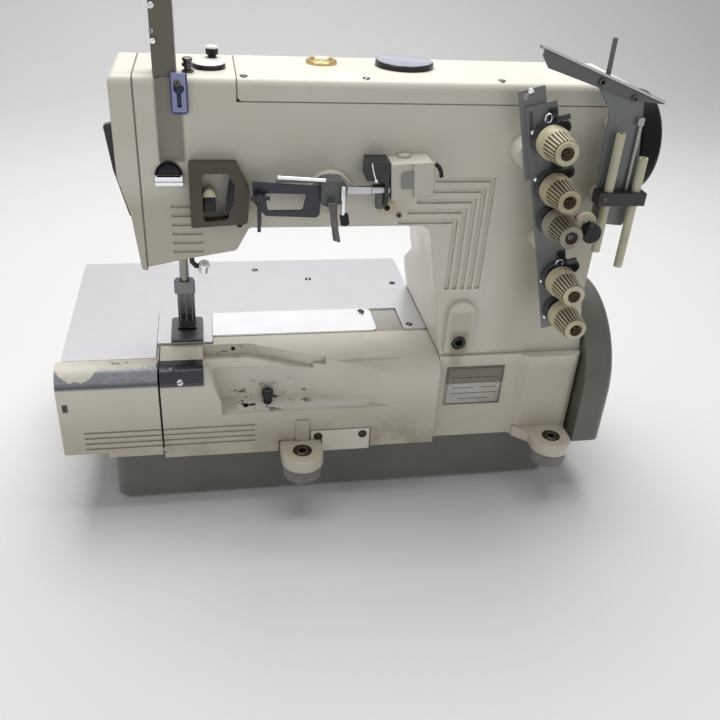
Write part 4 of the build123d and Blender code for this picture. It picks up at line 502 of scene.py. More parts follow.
# Enamels: name, colour, stain, colour below, roughness, share of chips, edge and marks
ENAMELS = {
    "cream": ("cream_enamel", CREAM, CREAM_STAIN, CHIP, 0.40, 0.2, 0.0012, ARM_MARKS),
    "cream_bed": ("cream_enamel_bed", CREAM, CREAM_STAIN, CHIP, 0.42, 0.6, 0.0012, LEDGE_MARKS),
    "cream_small": ("cream_enamel_small", CREAM, CREAM_STAIN, srgb(120, 112, 96), 0.42, 0.4, 0.0012),
    "box_cream": ("cream_enamel_box", srgb(206, 202, 190), CREAM_STAIN, srgb(92, 86, 74), 0.44, 1.6,
                  0.0012),
    "sage": ("sage_enamel", srgb(90, 95, 82), srgb(74, 76, 62), srgb(50, 48, 42), 0.38, 0.2, 0.0012),
    "pan": ("pan_enamel", srgb(96, 98, 90), srgb(66, 64, 54), srgb(44, 42, 38), 0.5, 0.3, 0.0012),
    "taupe": ("taupe_enamel", srgb(68, 60, 47), srgb(50, 44, 34), srgb(132, 128, 116), 0.42, 0.4),
    "guard": ("grey_beige_enamel", srgb(108, 104, 90), srgb(82, 77, 64), srgb(150, 146, 138), 0.40, 0.4),
    "slate": ("slate_enamel", srgb(122, 127, 126), srgb(98, 100, 98), srgb(168, 168, 164), 0.36, 0.4,
              0.001, ROD_MARKS),
    "dark_slate": ("dark_slate_enamel", srgb(98, 102, 101), srgb(80, 82, 80), srgb(160, 160, 156), 0.36,
                   0.4),
    "black_paint": ("black_enamel", srgb(30, 30, 31), srgb(52, 47, 40), srgb(110, 108, 102), 0.34, 0.4),
    "navy": ("blue_black_enamel", srgb(40, 44, 58), srgb(50, 48, 50), srgb(120, 122, 126), 0.34, 0.4),
    "green_grey": ("green_grey_enamel", srgb(92, 98, 92), srgb(66, 68, 60), srgb(40, 40, 40), 0.36, 0.5),
    "lavender": ("lavender_plate", srgb(150, 156, 196), srgb(118, 126, 160), srgb(190, 192, 206), 0.30,
                 0.3, 0.0006, GUIDE_MARKS),
    "solenoid_patch": ("worn_label", srgb(146, 144, 138), srgb(200, 194, 176), srgb(84, 84, 84), 0.5, 1.6,
                       0.0006),
}
# Metals: name, colour, roughness, grain, stain, streak, tint, marks and spread
METALS = {
    "plate": ("polished_plate", srgb(222, 222, 225), 0.30, 50, 0.06, (1, 9, 9), srgb(214, 204, 190),
              (), 0.3),
    "slide": ("polished_slide", srgb(246, 246, 248), 0.32, 50, 0.04, (1, 9, 9), srgb(226, 222, 214),
              (), 0.3),
    "steel": ("ground_steel", srgb(176, 177, 180), 0.30, 120, 0.35, (1, 12, 12)),
    # The needle and presser bars' steel is darkened as painted shade
    "bar_steel": ("bar_steel", srgb(126, 124, 121), 0.24, 200, 0.5, (12, 12, 1)),
    "foot_steel": ("foot_steel", srgb(112, 112, 114), 0.30, 120, 0.5, (1, 6, 6)),
    "band_steel": ("dark_band_steel", srgb(74, 74, 77), 0.26, 90, 0.4, (1, 14, 14), None, BAND_MARKS),
    "nameplate": ("brushed_nameplate", srgb(150, 148, 142), 0.40, 120, 0.5, (1, 30, 30), srgb(112, 104, 90),
                  NAMEPLATE_MARKS),
    "chrome": ("chrome_plating", srgb(226, 227, 230), 0.12, 300, 0.2),
    "pocket_chrome": ("pocket_chrome", srgb(226, 227, 230), 0.12, 300, 0.2, (1, 1, 1), None, POCKET_SHADE_MARKS),
    "black_screw": ("black_screw", srgb(58, 56, 54), 0.34, 300, 0.4),
    "iron": ("machined_iron", srgb(120, 118, 114), 0.42, 260, 0.5),
    "bronze": ("bronze_bush", srgb(176, 140, 88), 0.34, 260, 0.4),
    "brass": ("brass_ring", srgb(196, 172, 118), 0.22, 300, 0.3),
    "rusty_brass": ("stained_brass", srgb(84, 66, 46), 0.44, 300, 0.6),
    "dark_steel": ("burnished_steel", srgb(96, 94, 92), 0.32, 260, 0.4),
    "spring": ("black_spring", srgb(58, 54, 50), 0.30, 400, 0.4),
}
# Plastics: name, colour, stain, roughness and level of gloss
PLASTICS = {
    "ivory": ("ivory_plastic", srgb(214, 206, 178), srgb(178, 162, 122), 0.36),
    "tube": ("tube_plastic", srgb(206, 202, 176), srgb(160, 148, 116), 0.34),
    "pale_cap": ("pale_cap", srgb(228, 227, 222), srgb(204, 200, 190), 0.16),
    "cap_grey": ("cap_grey", srgb(158, 162, 176), srgb(140, 142, 152), 0.16),
    "keyhole": ("keyhole_blue", srgb(34, 46, 84), srgb(20, 24, 40), 0.4),
    "black_plastic": ("black_plastic", srgb(20, 21, 23), srgb(36, 36, 36), 0.20, 0.3),
    "wheel_black": ("wheel_black", srgb(16, 17, 19), srgb(28, 28, 28), 0.34, 0.12),
    "rubber": ("grey_rubber", srgb(120, 120, 116), srgb(88, 86, 80), 0.62),
    "belt_rubber": ("belt_rubber", srgb(40, 40, 41), srgb(60, 58, 54), 0.55),
}

MATERIALS = {"tray_cream": tray_paint("cream_enamel_tray"), "roll": rolled_steel("cream_enamel_roll"),
             "glass": glass("oil_sight_glass")}
for kind, table in ((worn_paint, ENAMELS), (metal, METALS), (plastic, PLASTICS)):
    for look, values in table.items():
        MATERIALS[look] = kind(*values)

NODES_BY_LOOK = {
    "cream": ("arm_casting", "top_lid", "face_cover"),
    "cream_bed": ("bed_casting",),
    "pan": ("oil_pan",),
    "rubber": ("foot_cushions",),
    "plate": ("cloth_plate", "needle_plate"),
    "slide": ("slide_plate",),
    "tray_cream": ("front_cover",),
    "band_steel": ("edge_band",),
    "roll": ("looper_cover",),
    "steel": ("cover_hinge_pin", "lower_shaft", "main_feed_dog", "front_feed_dog", "wiper_link"),
    "cream_small": ("latch_plate",),
    "black_plastic": ("push_button", "oil_cap", "head_plug", "pressure_knob", "release_knob"),
    "dark_steel": ("main_shaft",),
    "belt_rubber": ("timing_belt",),
    "wheel_black": ("handwheel",),
    "iron": ("drive_pulley",),
    "sage": ("belt_cover",),
    "bronze": ("shaft_bushes", "bar_bushes"),
    "bar_steel": ("needle_bar", "presser_bar"),
    "foot_steel": ("needle_clamp", "presser_foot"),
    "chrome": ("take_up_lever", "looper"),
    "black_paint": ("lifter_lever", "solenoid_bracket", "tension_discs", "tension_hooks", "stand_clamp"),
    "guard": ("take_up_guard",),
    "lavender": ("keyhole_guide",),
    "pocket_chrome": ("thread_pocket",),
    "taupe": ("wiper_guard",),
    "green_grey": ("wiper_arm",),
    "navy": ("wiper_bracket",),
    "box_cream": ("solenoid_box",),
    "ivory": ("thread_eyelet",),
    "brass": ("oil_sight",),
    "glass": ("oil_sight_glass",),
    "slate": ("tension_plate", "stand_plate"),
    "dark_slate": ("stand_channel",),
    "tube": ("guide_tubes",),
}

# Plastic and stain of the tension knobs, from the top one to the bottom one
CLEAN_KNOB = (srgb(206, 198, 168), srgb(174, 160, 118))
BROWN_KNOB = (srgb(186, 172, 142), srgb(140, 120, 88))
GREY_KNOB = (srgb(158, 150, 134), srgb(122, 112, 96))
KNOB_TONES = (CLEAN_KNOB, BROWN_KNOB, GREY_KNOB, CLEAN_KNOB, CLEAN_KNOB)

# Angles in degrees over which an edge is shaded sharp
SHARP, SHARP_FLUTES, SHARP_SLABS = 32, 25, 50


def new_object(name, data):
    """Object in the scene."""
    obj = bpy.data.objects.new(name, data)
    bpy.context.scene.collection.objects.link(obj)
    return obj


def dress(obj, material):
    """Gives an object one material."""
    obj.data.materials.clear()
    obj.data.materials.append(material)


def shade(obj, angle=SHARP):
    """Smooth shading that keeps edges over the angle, in degrees, sharp."""
    for poly in obj.data.polygons:
        poly.use_smooth = True
    obj.data.set_sharp_from_angle(angle=radians(angle))


def dress_nodes():
    """Materials of all CAD nodes."""
    for look, nodes in NODES_BY_LOOK.items():
        for node in nodes:
            dress(NODES[node], MATERIALS[look])
            shade(NODES[node])
    for index, tones in enumerate(KNOB_TONES):
        node = f"tension_knob_{index + 1}"
        _, _, knob = in_mm(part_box(node))
        dress(NODES[node], fluted(f"knob_plastic_{index + 1}", tones, knob.x, knob.z))
        shade(NODES[node], SHARP_FLUTES)


dress_nodes()


# Pieces in mesh code, in millimetres, each riding on its body

UP = (0, 0, 1)
FRONT = (0, -1, 0)
BACK = (0, 1, 0)
LEFT = (-1, 0, 0)
RIGHT = (1, 0, 0)


def add_piece(name, verts, faces, look, body):
    """Mesh object from points in millimetres."""
    mesh = bpy.data.meshes.new(name)
    mesh.from_pydata([Vector(v) * MM for v in verts], [], faces)
    mesh.validate()
    obj = new_object(name, mesh)
    dress(obj, MATERIALS[look])
    shade(obj)
    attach(obj, body)
    return obj


def placed(verts, at, axis, turn=0.0):
    """Points turned about Z, then from Z to the axis, and moved to a place."""
    matrix = Vector(axis).to_track_quat("Z", "Y").to_matrix() @ Matrix.Rotation(radians(turn), 3, "Z")
    return [matrix @ Vector(v) + Vector(at) for v in verts]


def circle(radius, z, steps):
    """Points of a circle about Z."""
    return [(radius * cos(2 * pi * i / steps), radius * sin(2 * pi * i / steps), z) for i in range(steps)]


def half_disc(x, z, wide, high, steps):
    """Corners of half an ellipse in X and Z that stands on its flat side; x, z is that side's middle."""
    return [(x + wide * cos(pi * i / steps), z + high * sin(pi * i / steps)) for i in range(steps + 1)]


def rectangle(x0, z0, x1, z1):
    """Corners of a rectangle in X and Z."""
    return [(x0, z0), (x1, z0), (x1, z1), (x0, z1)]


def dome(radius, height, base=0.0, steps=6):
    """Profile of a dome on a base height, which ends on the axis."""
    points = [(radius * cos(pi / 2 * i / steps), base + height * sin(pi / 2 * i / steps))
              for i in range(steps)]
    return points + [(0, base + height)]


def helix(at, radius, length, turns, steps=14):
    """Points of a coil whose axis runs along Y."""
    x, y, z = at
    count = int(turns * steps)
    return [(x + radius * cos(2 * pi * i / steps), y + length * i / count,
             z + radius * sin(2 * pi * i / steps)) for i in range(count + 1)]


def lathe(name, at, axis, profile, look, body="head", steps=32, closed=True):
    """Turned piece whose profile lists radius and height along the axis.

    A closed one gets the disc under a profile that starts off the axis and ends on it, or the wall
    that joins the two ends of a ring."""
    verts = []
    faces = []
    rows = []
    if closed and profile[0][0] > 0 and profile[-1][0] == 0:
        profile = [(0, profile[0][1])] + list(profile)
    for radius, height in profile:
        start = len(verts)
        count = 1 if radius == 0 else steps
        verts += circle(radius, height, steps)[:count]
        rows.append([start + i % count for i in range(steps)])
    if closed and profile[0][0] > 0:
        rows.append(rows[0])
    for low, high in zip(rows, rows[1:]):
        for i in range(steps):
            j = (i + 1) % steps
            corners = []
            for index in (low[i], low[j], high[j], high[i]):
                if index not in corners:
                    corners.append(index)
            if len(corners) > 2:
                faces.append(corners)
    return add_piece(name, placed(verts, at, axis), faces, look, body)


def sweep(name, points, radius, look, body="head", sides=10):
    """Round wire through points, with closed ends."""
    points = [Vector(p) for p in points]
    verts = []
    faces = []
    side = None
    for i, point in enumerate(points):
        ahead = (points[min(i + 1, len(points) - 1)] - points[max(i - 1, 0)]).normalized()
        if side is None:
            side = ahead.orthogonal().normalized()
        side = (side - ahead * side.dot(ahead)).normalized()
        other = ahead.cross(side)
        for k in range(sides):
            angle = 2 * pi * k / sides
            verts.append(point + radius * (cos(angle) * side + sin(angle) * other))
    for i in range(len(points) - 1):
        for k in range(sides):
            a = i * sides + k
            b = i * sides + (k + 1) % sides
            faces.append((a, b, b + sides, a + sides))
    faces.append(tuple(reversed(range(sides))))
    faces.append(tuple(range(len(verts) - sides, len(verts))))
    return add_piece(name, verts, faces, look, body)


def slab(name, corners, y0, y1, look, body="head", bevel=0.4):
    """Flat piece with rounded edges: corners in X and Z, from y0 to y1."""
    count = len(corners)
    verts = [(x, y0, z) for x, z in corners] + [(x, y1, z) for x, z in corners]
    faces = [tuple(range(count)), tuple(reversed(range(count, 2 * count)))]
    for i in range(count):
        j = (i + 1) % count
        faces.append((j, i, i + count, j + count))
    obj = add_piece(name, verts, faces, look, body)
    bm = bmesh.new()
    bm.from_mesh(obj.data)
    bmesh.ops.recalc_face_normals(bm, faces=bm.faces)
    bmesh.ops.bevel(bm, geom=bm.edges[:], offset=bevel * MM, segments=2, affect="EDGES", profile=0.5)
    bm.to_mesh(obj.data)
    bm.free()
    shade(obj, SHARP_SLABS)
    return obj


def screw(name, at, axis, radius, height, look="dark_steel", body="head", turn=25.0, slot=0.16):
    """Slotted screw: two bevelled halves on a disc; slot is half the slot's share of the radius."""
    steps = 12
    gap = slot * radius
    rim = 0.22 * radius
    rows = ((radius, 0.0), (radius, height - rim), (radius - rim, height))
    verts = []
    faces = []
    for half in (1, -1):
        start = len(verts)
        for ring, z in rows:
            first = asin(gap / ring)
            for i in range(steps + 1):
                angle = first + (pi - 2 * first) * i / steps
                verts.append((half * ring * cos(angle), half * ring * sin(angle), z))
        width = steps + 1
        for row in range(2):
            for i in range(steps):
                a = start + row * width + i
                faces.append((a, a + 1, a + 1 + width, a + width))
        top = start + 2 * width
        faces.append(tuple(range(top, top + width)))
        faces.append(tuple(reversed(range(start, start + width))))
        last = start + steps
        faces.append((start, start + width, top, top + steps, last + width, last))
    start = len(verts)
    around = 2 * steps
    disc = 0.97 * radius
    floor_z = max(0.1, height - 0.45 * radius)
    verts += circle(disc, 0.0, around) + circle(disc, floor_z, around)
    for i in range(around):
        a = start + i
        b = start + (i + 1) % around
        faces.append((a, b, b + around, a + around))
    faces.append(tuple(range(start + around, start + 2 * around)))
    faces.append(tuple(reversed(range(start, start + around))))
    return add_piece(name, placed(verts, at, axis, turn), faces, look, body)


def socket_screw(name, at, axis, radius, height, look="dark_steel"):
    """Cap screw with a hexagon socket."""
    socket = 0.5 * radius
    mouth = 1.12 * socket
    floor_z = height - 0.6 * radius
    lathe(name, at, axis, [(radius, 0), (radius, height - 0.15 * radius), (0.86 * radius, height),
                           (mouth, height)], look)
    lathe(name + "_socket", at, axis, [(mouth, height), (socket, height - 0.1 * radius), (socket, floor_z),
                                       (0, floor_z)], "black_plastic", steps=6, closed=False)


# How deep small pieces sit in the face below them, and screws in the lid and the plates
SUNK = 0.2
SUNK_IN_LID = 0.8
SUNK_IN_PLATE = 0.5

LID_SCREWS_X = (55.6, 150.6, 261.6)
LID_SCREW_Y = -56.5
POCKET_BACK_AT = (-4.5, 337.0)
POCKET_BACK_R = 10.3
HEAD_NUT_ARM = [(8.5, -31, 257), (8.8, -31.6, 247), (12, -32.6, 243.4), (19, -33.4, 242.6)]
KEYHOLE_BORDER_X, KEYHOLE_BORDER_Z, KEYHOLE_TOP_Z = 1.6, 2.0, 405.2


def head_pieces():
    """Screws and small fittings on the head, the lid and the take-up guard."""
    for index, x in enumerate(LID_SCREWS_X):
        screw(f"lid_screw_{index + 1}", (x, LID_SCREW_Y, LID_HIGH.z - SUNK_IN_LID), UP, 3.6, 1.3,
              turn=70 * index)
    lathe("thread_post", (14, -47, ARM_HIGH.z - SUNK), UP, [
        (4.6, 0), (4.6, 1.6), (2.8, 2.2), (2.8, 4.4), (4.3, 4.6), (4.5, 6.4), (3.2, 7.0), (3.2, 8.2),
        (3.9, 8.6), (3.9, 10.4), (2.8, 11.0), (0, 11.2)], "dark_steel")
    low, high, plug = in_mm(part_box("head_plug"))
    plug_r = (high.x - low.x) / 2
    lathe("plug_face", (plug.x, plug.y, high.z - SUNK), UP,
          [(plug_r - 0.9, 0), (plug_r - 1.2, 0.45)] + dome(plug_r - 1.6, 0.9, 0.45), "pale_cap", steps=48)
    _, _, knob = in_mm(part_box("pressure_knob"))
    seat = ARM_HIGH.z + 0.2
    body_h = 7.0
    body = lathe("pressure_body", (knob.x, knob.y, seat), UP, [
        (3.4, 0), (3.4, 1.6), (4.6, 2.0), (5.2, 2.6), (5.2, 6.4), (4.7, body_h), (0, body_h)],
        "black_plastic", "pressure_screw", 40)
    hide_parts("pressure_knob")
    # The pale dome on the black knob is a painted highlight
    lathe("pressure_highlight_dome", (knob.x, knob.y, seat + body_h - 0.1), UP,
          [(5.0, 0), (5.4, 0.5)] + dome(5.3, 1.9, 0.7), "pale_cap", "pressure_screw")
    screw("guide_screw", (5.6, GUIDE_LOW.y - 0.1, 407.6), FRONT, 2.6, 0.9, turn=60)
    screw("guard_screw_top", (-9.3, GUARD_Y - 0.1, 460.7), FRONT, 2.4, 1.3, "chrome", turn=10)
    screw("guard_screw_mid", (-10.4, GUARD_Y - 0.1, 443.6), FRONT, 2.0, 1.0, "steel", turn=80)
    lathe("guard_pin", (-9.4, GUARD_Y, 437.0), FRONT, [(2.1, 0)] + dome(2.1, 1.2, 2.4), "chrome")
    # Black sheet at the back of the thread pocket, as painted shade inside it
    slab("pocket_shade_sheet", half_disc(*POCKET_BACK_AT, POCKET_BACK_R, POCKET_BACK_R, 14), -63.6, -60.8,
         "black_plastic", bevel=0.15)
    lathe("head_nut", (18.6, -33, 238.2), (0.1, -0.35, 1), [
        (0, 0), (4.3, 0), (4.9, 0.7), (4.9, 9.2), (4.3, 10.0), (2.2, 10.0), (2.0, 7.6), (0, 7.6)],
        "chrome", steps=28)
    sweep("head_nut_arm", HEAD_NUT_ARM, 2.4, "black_screw", sides=12)
    keyhole = rectangle(GUIDE_LOW.x + KEYHOLE_BORDER_X, GUIDE_LOW.z + KEYHOLE_BORDER_Z,
                        GUIDE_HIGH.x - KEYHOLE_BORDER_X, KEYHOLE_TOP_Z)
    # Dark blue sheet behind the keyhole, as painted shade inside it
    slab("keyhole_shade_sheet", keyhole, GUIDE_LOW.y + 1.8, GUIDE_LOW.y + 2.4, "keyhole", bevel=0.1)
    screw("guard_window_screw", (38.6, -62.2, 303.6), FRONT, 1.7, 1.0, "chrome", turn=30)
    lathe("guard_corner_screw", (49.6, -70.5, 298.9), FRONT, [(2.6, 0), (2.6, 4.6), (1.8, 5.2), (0, 5.2)],
          "black_plastic", steps=20)


GUARD_LEVER = rectangle(21, 309.5, 31, 321.5)
GUARD_LEVER_CAP = half_disc(26, 321.3, 5.6, 7.0, 10)
SLOT_SHADE = [(42.1, 338.2), (46.4, 332.7), (44.7, 316.2), (40.0, 307.8), (39.1, 321.8)]


def guard_lever():
    """Black lever with an ivory cap in the wiper guard's window, and a black sheet as painted shade in the
    slot beside it.
    """
    slab("guard_lever", GUARD_LEVER, -73, -63, "black_plastic", bevel=0.8)
    slab("guard_lever_cap", GUARD_LEVER_CAP, -73.6, -64, "ivory", bevel=0.9)
    front_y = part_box("wiper_guard")[0].y / MM
    slab("guard_slot_shade", SLOT_SHADE, front_y - 0.2, front_y + 0.5, "black_plastic", bevel=0.15)


WIPER_ROD = [(79.0, -87.5, 342.8), (98, -87.6, 341.6), (117.0, -87.4, 340.2)]
HANG_LEVER_CROSS = [(57.6, -87.5, 325.6), (73.2, -87.5, 325.9)]
HANG_LEVER = [(63.9, 303), (66.2, 303.2), (66.9, 327), (63.5, 327)]
WIPER_LEVER = [(117.8, 325), (125.6, 325), (126.2, 314), (127.4, 303), (129.6, 291.6), (127.0, 291.0),
               (124.0, 302), (120.6, 314)]
OUTER_SPRING = helix((126.5, -75.5, 327.5), 8.6, 8.5, 3.5)
INNER_SPRING = helix((128.5, -80.5, 325.5), 6.0, 9.0, 4.0)
BRIGHT_EDGE = [(153.9, -85.4, 353.2), (155.6, -85.4, 346.0), (158.0, -85.4, 338.8)]
SOLENOID_HOOK = [(206.6, -81, 351.6), (209.4, -82.4, 349.6), (211.6, -83, 345.6), (212.4, -82.6, 341.4)]
SOLENOID_PATCH = [(179.5, 332.5), (189, 333.5), (188.4, 346.2), (178.6, 345.2)]


def wiper_pieces():
    """Rod, levers, pin, knob and springs of the wiper, and the fittings by its solenoid."""
    sweep("wiper_rod", WIPER_ROD, 1.5, "chrome", "wiper", 16)
    lathe("hang_lever_hub", (65.4, -84.5, 325.8), FRONT, [(3.6, 0), (3.6, 5.4), (2.6, 6.2), (0, 6.2)],
          "black_paint", "wiper", 20)
    sweep("hang_lever_cross", HANG_LEVER_CROSS, 1.8, "black_paint", "wiper")
    slab("hang_lever", HANG_LEVER, -88.8, -86.6, "black_paint", "wiper")
    slab("wiper_lever", WIPER_LEVER, -97.0, -94.0, "dark_steel", "wiper", 0.6)
    lathe("wiper_pin", (130.4, -94, 338), (0.02, -0.02, -1), [
        (0, 0), (1.7, 0.4), (1.9, 1.2), (1.9, 24), (0, 24)], "chrome", "wiper", 16)
    lathe("wiper_pin_knob", (131.6, -94, 314.5), (0.18, 0, -1), [
        (0, 0), (3.2, 0), (3.6, 1), (3.6, 8.6), (2.6, 9.6), (0, 9.6)], "black_plastic", "wiper", 20)
    sweep("wiper_spring_outer", OUTER_SPRING, 1.1, "spring")
    sweep("wiper_spring_inner", INNER_SPRING, 0.9, "spring")
    lathe("bracket_cylinder", (163.4, -78.4, 327.5), (0.05, 0, -1), [
        (0, 0), (3.6, 0), (4.2, 0.8), (4.2, 13.0), (3.6, 13.8), (0, 13.8)], "green_grey", steps=28)
    sweep("bracket_edge", BRIGHT_EDGE, 0.6, "chrome", sides=12)
    lathe("bracket_edge_end", BRIGHT_EDGE[-1], FRONT, [(1.5, -1.0)] + dome(1.5, 1.2), "chrome", steps=18)
    sweep("solenoid_hook", SOLENOID_HOOK, 1.8, "black_plastic", sides=12)
    socket_screw("eyelet_screw", (183.6, -66.5, 302.4), FRONT, 2.4, 1.6)


def solenoid_patch():
    """Worn grey patch on the solenoid box, with no lettering."""
    front_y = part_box("solenoid_box")[0].y / MM
    slab("solenoid_patch", SOLENOID_PATCH, front_y - 0.25, front_y + 0.6, "solenoid_patch", bevel=0.1)


PLATE_SCREWS_AT = ((222.7, 96.6), (221.0, 2.5), (130.2, 111.7), (73.2, 137.8))
LATCH_SCREWS_X = (121.0, 165.0)
LATCH_SCREW_Z = 75.5
LUGS_AT = ((104, -86), (356, -86), (104, 182), (356, 182))
LUG_RING_Z, LUG_SCREW_Z = 71.7, 69.2
COLUMN_SCREW_AT = (253.0, -61.8, 173.0)
NAMEPLATE = (246.7, 98, 305.2, 142.5)
NAMEPLATE_FRAME = (248.4, 99.7, 303.5, 140.8)
NAMEPLATE_Y0, NAMEPLATE_Y1 = -60.9, -59.6
NAMEPLATE_RIVETS_X = (251.6, 300.4)
NAMEPLATE_RIVET_Z = 120.2


def bed_pieces():
    """Screws and fittings on the plates, the covers and the lugs."""
    for index, (x, y) in enumerate(PLATE_SCREWS_AT):
        screw(f"plate_screw_{index + 1}", (x, y, PLATE_HIGH.z - SUNK_IN_PLATE), UP, 4.2, 0.85,
              "black_screw", turn=40 * index)
    screw("slide_screw", (175.6, 30.8, SLIDE_HIGH.z - SUNK_IN_PLATE), UP, 3.9, 0.9, "black_screw",
          "slide_cover", 15)
    screw("band_screw", (-6.9, -67.4, 143.7), (0, -0.92, 0.38), 3.0, 1.3, "chrome", turn=20)
    lathe("band_mark", (-14.0, -60.2, 153.6), (0, -0.45, 0.9), [(2.6, 0), (2.6, 0.35), (1.6, 0.5), (0, 0.5)],
          "dark_steel", steps=20)
    latch_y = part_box("latch_plate")[0].y / MM
    for index, x in enumerate(LATCH_SCREWS_X):
        lathe(f"latch_screw_ring_{index + 1}", (x, latch_y + SUNK, LATCH_SCREW_Z), FRONT, [
            (4.3, 0), (4.3, 0.7), (3.9, 1.0), (3.1, 1.0), (2.9, 0.4)], "black_plastic", steps=28)
        screw(f"latch_screw_{index + 1}", (x, latch_y + 0.4, LATCH_SCREW_Z), FRONT, 2.9, 0.9,
              "rusty_brass", turn=30 + 60 * index)
    for index, (x, y) in enumerate(LUGS_AT):
        lathe(f"lug_ring_{index + 1}", (x, y, LUG_RING_Z), UP, [
            (9.2, 0), (9.2, 0.5), (8.4, 0.8), (7.0, 0.8), (6.8, 0.2)], "rusty_brass", steps=36)
        socket_screw(f"lug_screw_{index + 1}", (x, y, LUG_SCREW_Z), UP, 6.3, 3.4)
    screw("shelf_screw", (42.5, -21.7, 150.4), FRONT, 2.2, 0.6, "black_plastic", turn=0)
    lathe("tray_eye", (52.0, -60.0, 107.5), UP, [(2.4, 0), (2.4, 2.6), (1.9, 2.8), (1.6, 0.4), (0, 0.4)],
          "black_plastic", steps=20)
    _, high, button = in_mm(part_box("push_button"))
    lathe("button_ring", (button.x, button.y, high.z - 0.1), UP, [
        (4.4, 0), (4.2, 0.5), (3.2, 0.6), (2.4, 0.1), (0, 0.1)], "dark_steel", "button", 28)
    socket_screw("column_screw", COLUMN_SCREW_AT, FRONT, 6.6, 3.2, "black_screw")
    slab("nameplate", rectangle(*NAMEPLATE), NAMEPLATE_Y0, NAMEPLATE_Y1, "nameplate", bevel=0.3)
    edge_y = NAMEPLATE_Y0 - 0.1
    corners = [(x, edge_y, z) for x, z in rectangle(*NAMEPLATE_FRAME)]
    for index in range(4):
        sweep(f"nameplate_edge_{index + 1}", [corners[index], corners[(index + 1) % 4]], 0.45,
              "dark_steel", sides=8)
    for index, x in enumerate(NAMEPLATE_RIVETS_X):
        lathe(f"nameplate_rivet_{index + 1}", (x, NAMEPLATE_Y0 + 0.1, NAMEPLATE_RIVET_Z), FRONT,
              [(1.7, 0), (1.7, 0.3)] + dome(1.6, 0.8, 0.3), "steel", steps=20)


# Small pieces down the tension plates, at X and Z, and the Y of each kind
EDGE_STUDS_AT = ((282.2, 379.4), (291.6, 340.6), (301.2, 303.0), (313.6, 247.6), (323.2, 211.2))
CHECK_SCREWS_AT = ((303.5, 387.5), (313.8, 351.2), (335.6, 266.6))
EYELETS_AT = ((292.4, 391.4), (325.6, 265.4))
EDGE_STUDS_Y, CHECK_SCREWS_Y, EYELETS_Y, EYELET_POSTS_Y = -87.4, -97.4, -90.6, -87.8
EYELET_RX, EYELET_RZ = 2.7, 3.6
EYELET_ANGLES = [2 * pi * i / 16 for i in range(17)]
STUD_AXIS = (-0.35, -1, 0.1)
CHECK_AXIS = (-0.35, -1, 0.05)


def tension_pieces():
    """Rivets, cap screws, eyelets and stud ends on the tension plates."""
    lathe("plate_rivet", (275.9, -86.0, 411.2), FRONT, [(2.6, 0), (2.6, 0.5)] + dome(2.4, 1.2, 0.5),
          "chrome", steps=24)
    for index, (x, z) in enumerate(EDGE_STUDS_AT):
        lathe(f"edge_stud_{index + 1}", (x, EDGE_STUDS_Y, z), STUD_AXIS, [
            (1.9, 0), (1.9, 1.0)] + dome(1.8, 1.2, 1.0), "chrome", steps=18)
    for index, (x, z) in enumerate(CHECK_SCREWS_AT):
        lathe(f"check_screw_{index + 1}", (x, CHECK_SCREWS_Y, z), CHECK_AXIS, [
            (0, -9), (1.8, -9), (1.8, -2.0), (4.9, -2.0), (5.3, -1.4), (5.3, 3.0), (4.7, 3.8), (2.2, 3.8),
            (2.0, 2.0), (0, 2.0)], "black_plastic", steps=24)
    for index, (x, z) in enumerate(EYELETS_AT):
        ring = [(x + EYELET_RX * cos(a), EYELETS_Y, z + EYELET_RZ * sin(a)) for a in EYELET_ANGLES]
        sweep(f"eyelet_ring_{index + 1}", ring, 1.0, "chrome")
        lathe(f"eyelet_post_{index + 1}", (x, EYELET_POSTS_Y, z - EYELET_RZ), FRONT, [
            (1.5, 0), (1.5, 3.0), (1.1, 3.4), (0, 3.4)], "chrome", steps=16)
    for index in range(1, 6):
        low, _, knob = in_mm(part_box(f"tension_knob_{index}"))
        look = "dark_steel" if index == 3 else "rusty_brass"
        screw(f"stud_end_{index}", (knob.x, low.y + 4.2, knob.z), FRONT, 2.9, 2.2, look, turn=35 * index,
              slot=0.22)
    _, high, knob = in_mm(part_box("release_knob"))
    lathe("release_collar", (knob.x - 4.0, high.y - 1.4, knob.z + 6.5), BACK, [
        (3.6, 0), (8.6, 0.2), (9.4, 1.0), (9.4, 3.4), (8.6, 4.0), (3.6, 4.0)], "ivory", steps=40)


CHANNEL_LIP_HIGHLIGHT = [(278.4, -90.2, 444.9), (334, -90.2, 424.9), (388.5, -90.2, 405.2)]


def stand_pieces():
    """Screws on the thread stand, and a steel rod along its channel's lip as a painted highlight."""
    socket_screw("stand_screw_left", (331.8, -89.3, 419.6), FRONT, 3.0, 1.6)
    socket_screw("stand_screw_right", (361.9, -90.4, 407.6), FRONT, 2.4, 1.2)
    # Steel rod along the channel's lip, bright as a painted highlight
    sweep("channel_lip_highlight", CHANNEL_LIP_HIGHLIGHT, 1.1, "steel")
    low, _, clamp = in_mm(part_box("stand_clamp"))
    screw("clamp_screw", (clamp.x - 16, low.y + 0.1, clamp.z), FRONT, 2.4, 1.2)


def oil_cap_reflection_disc():
    """Grey disc in the top of the oil filler cap, a painted reflection on the glossy black cap."""
    low, high, cap = in_mm(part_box("oil_cap"))
    cap_r = (high.x - low.x) / 2
    lathe("oil_cap_reflection_disc", (cap.x, cap.y, high.z - 1.0), UP, [
        (cap_r - 1.4, 0), (cap_r - 1.6, 1.1), (cap_r - 2.4, 1.4), (0, 1.4)], "cap_grey", "filler_cap", 64)


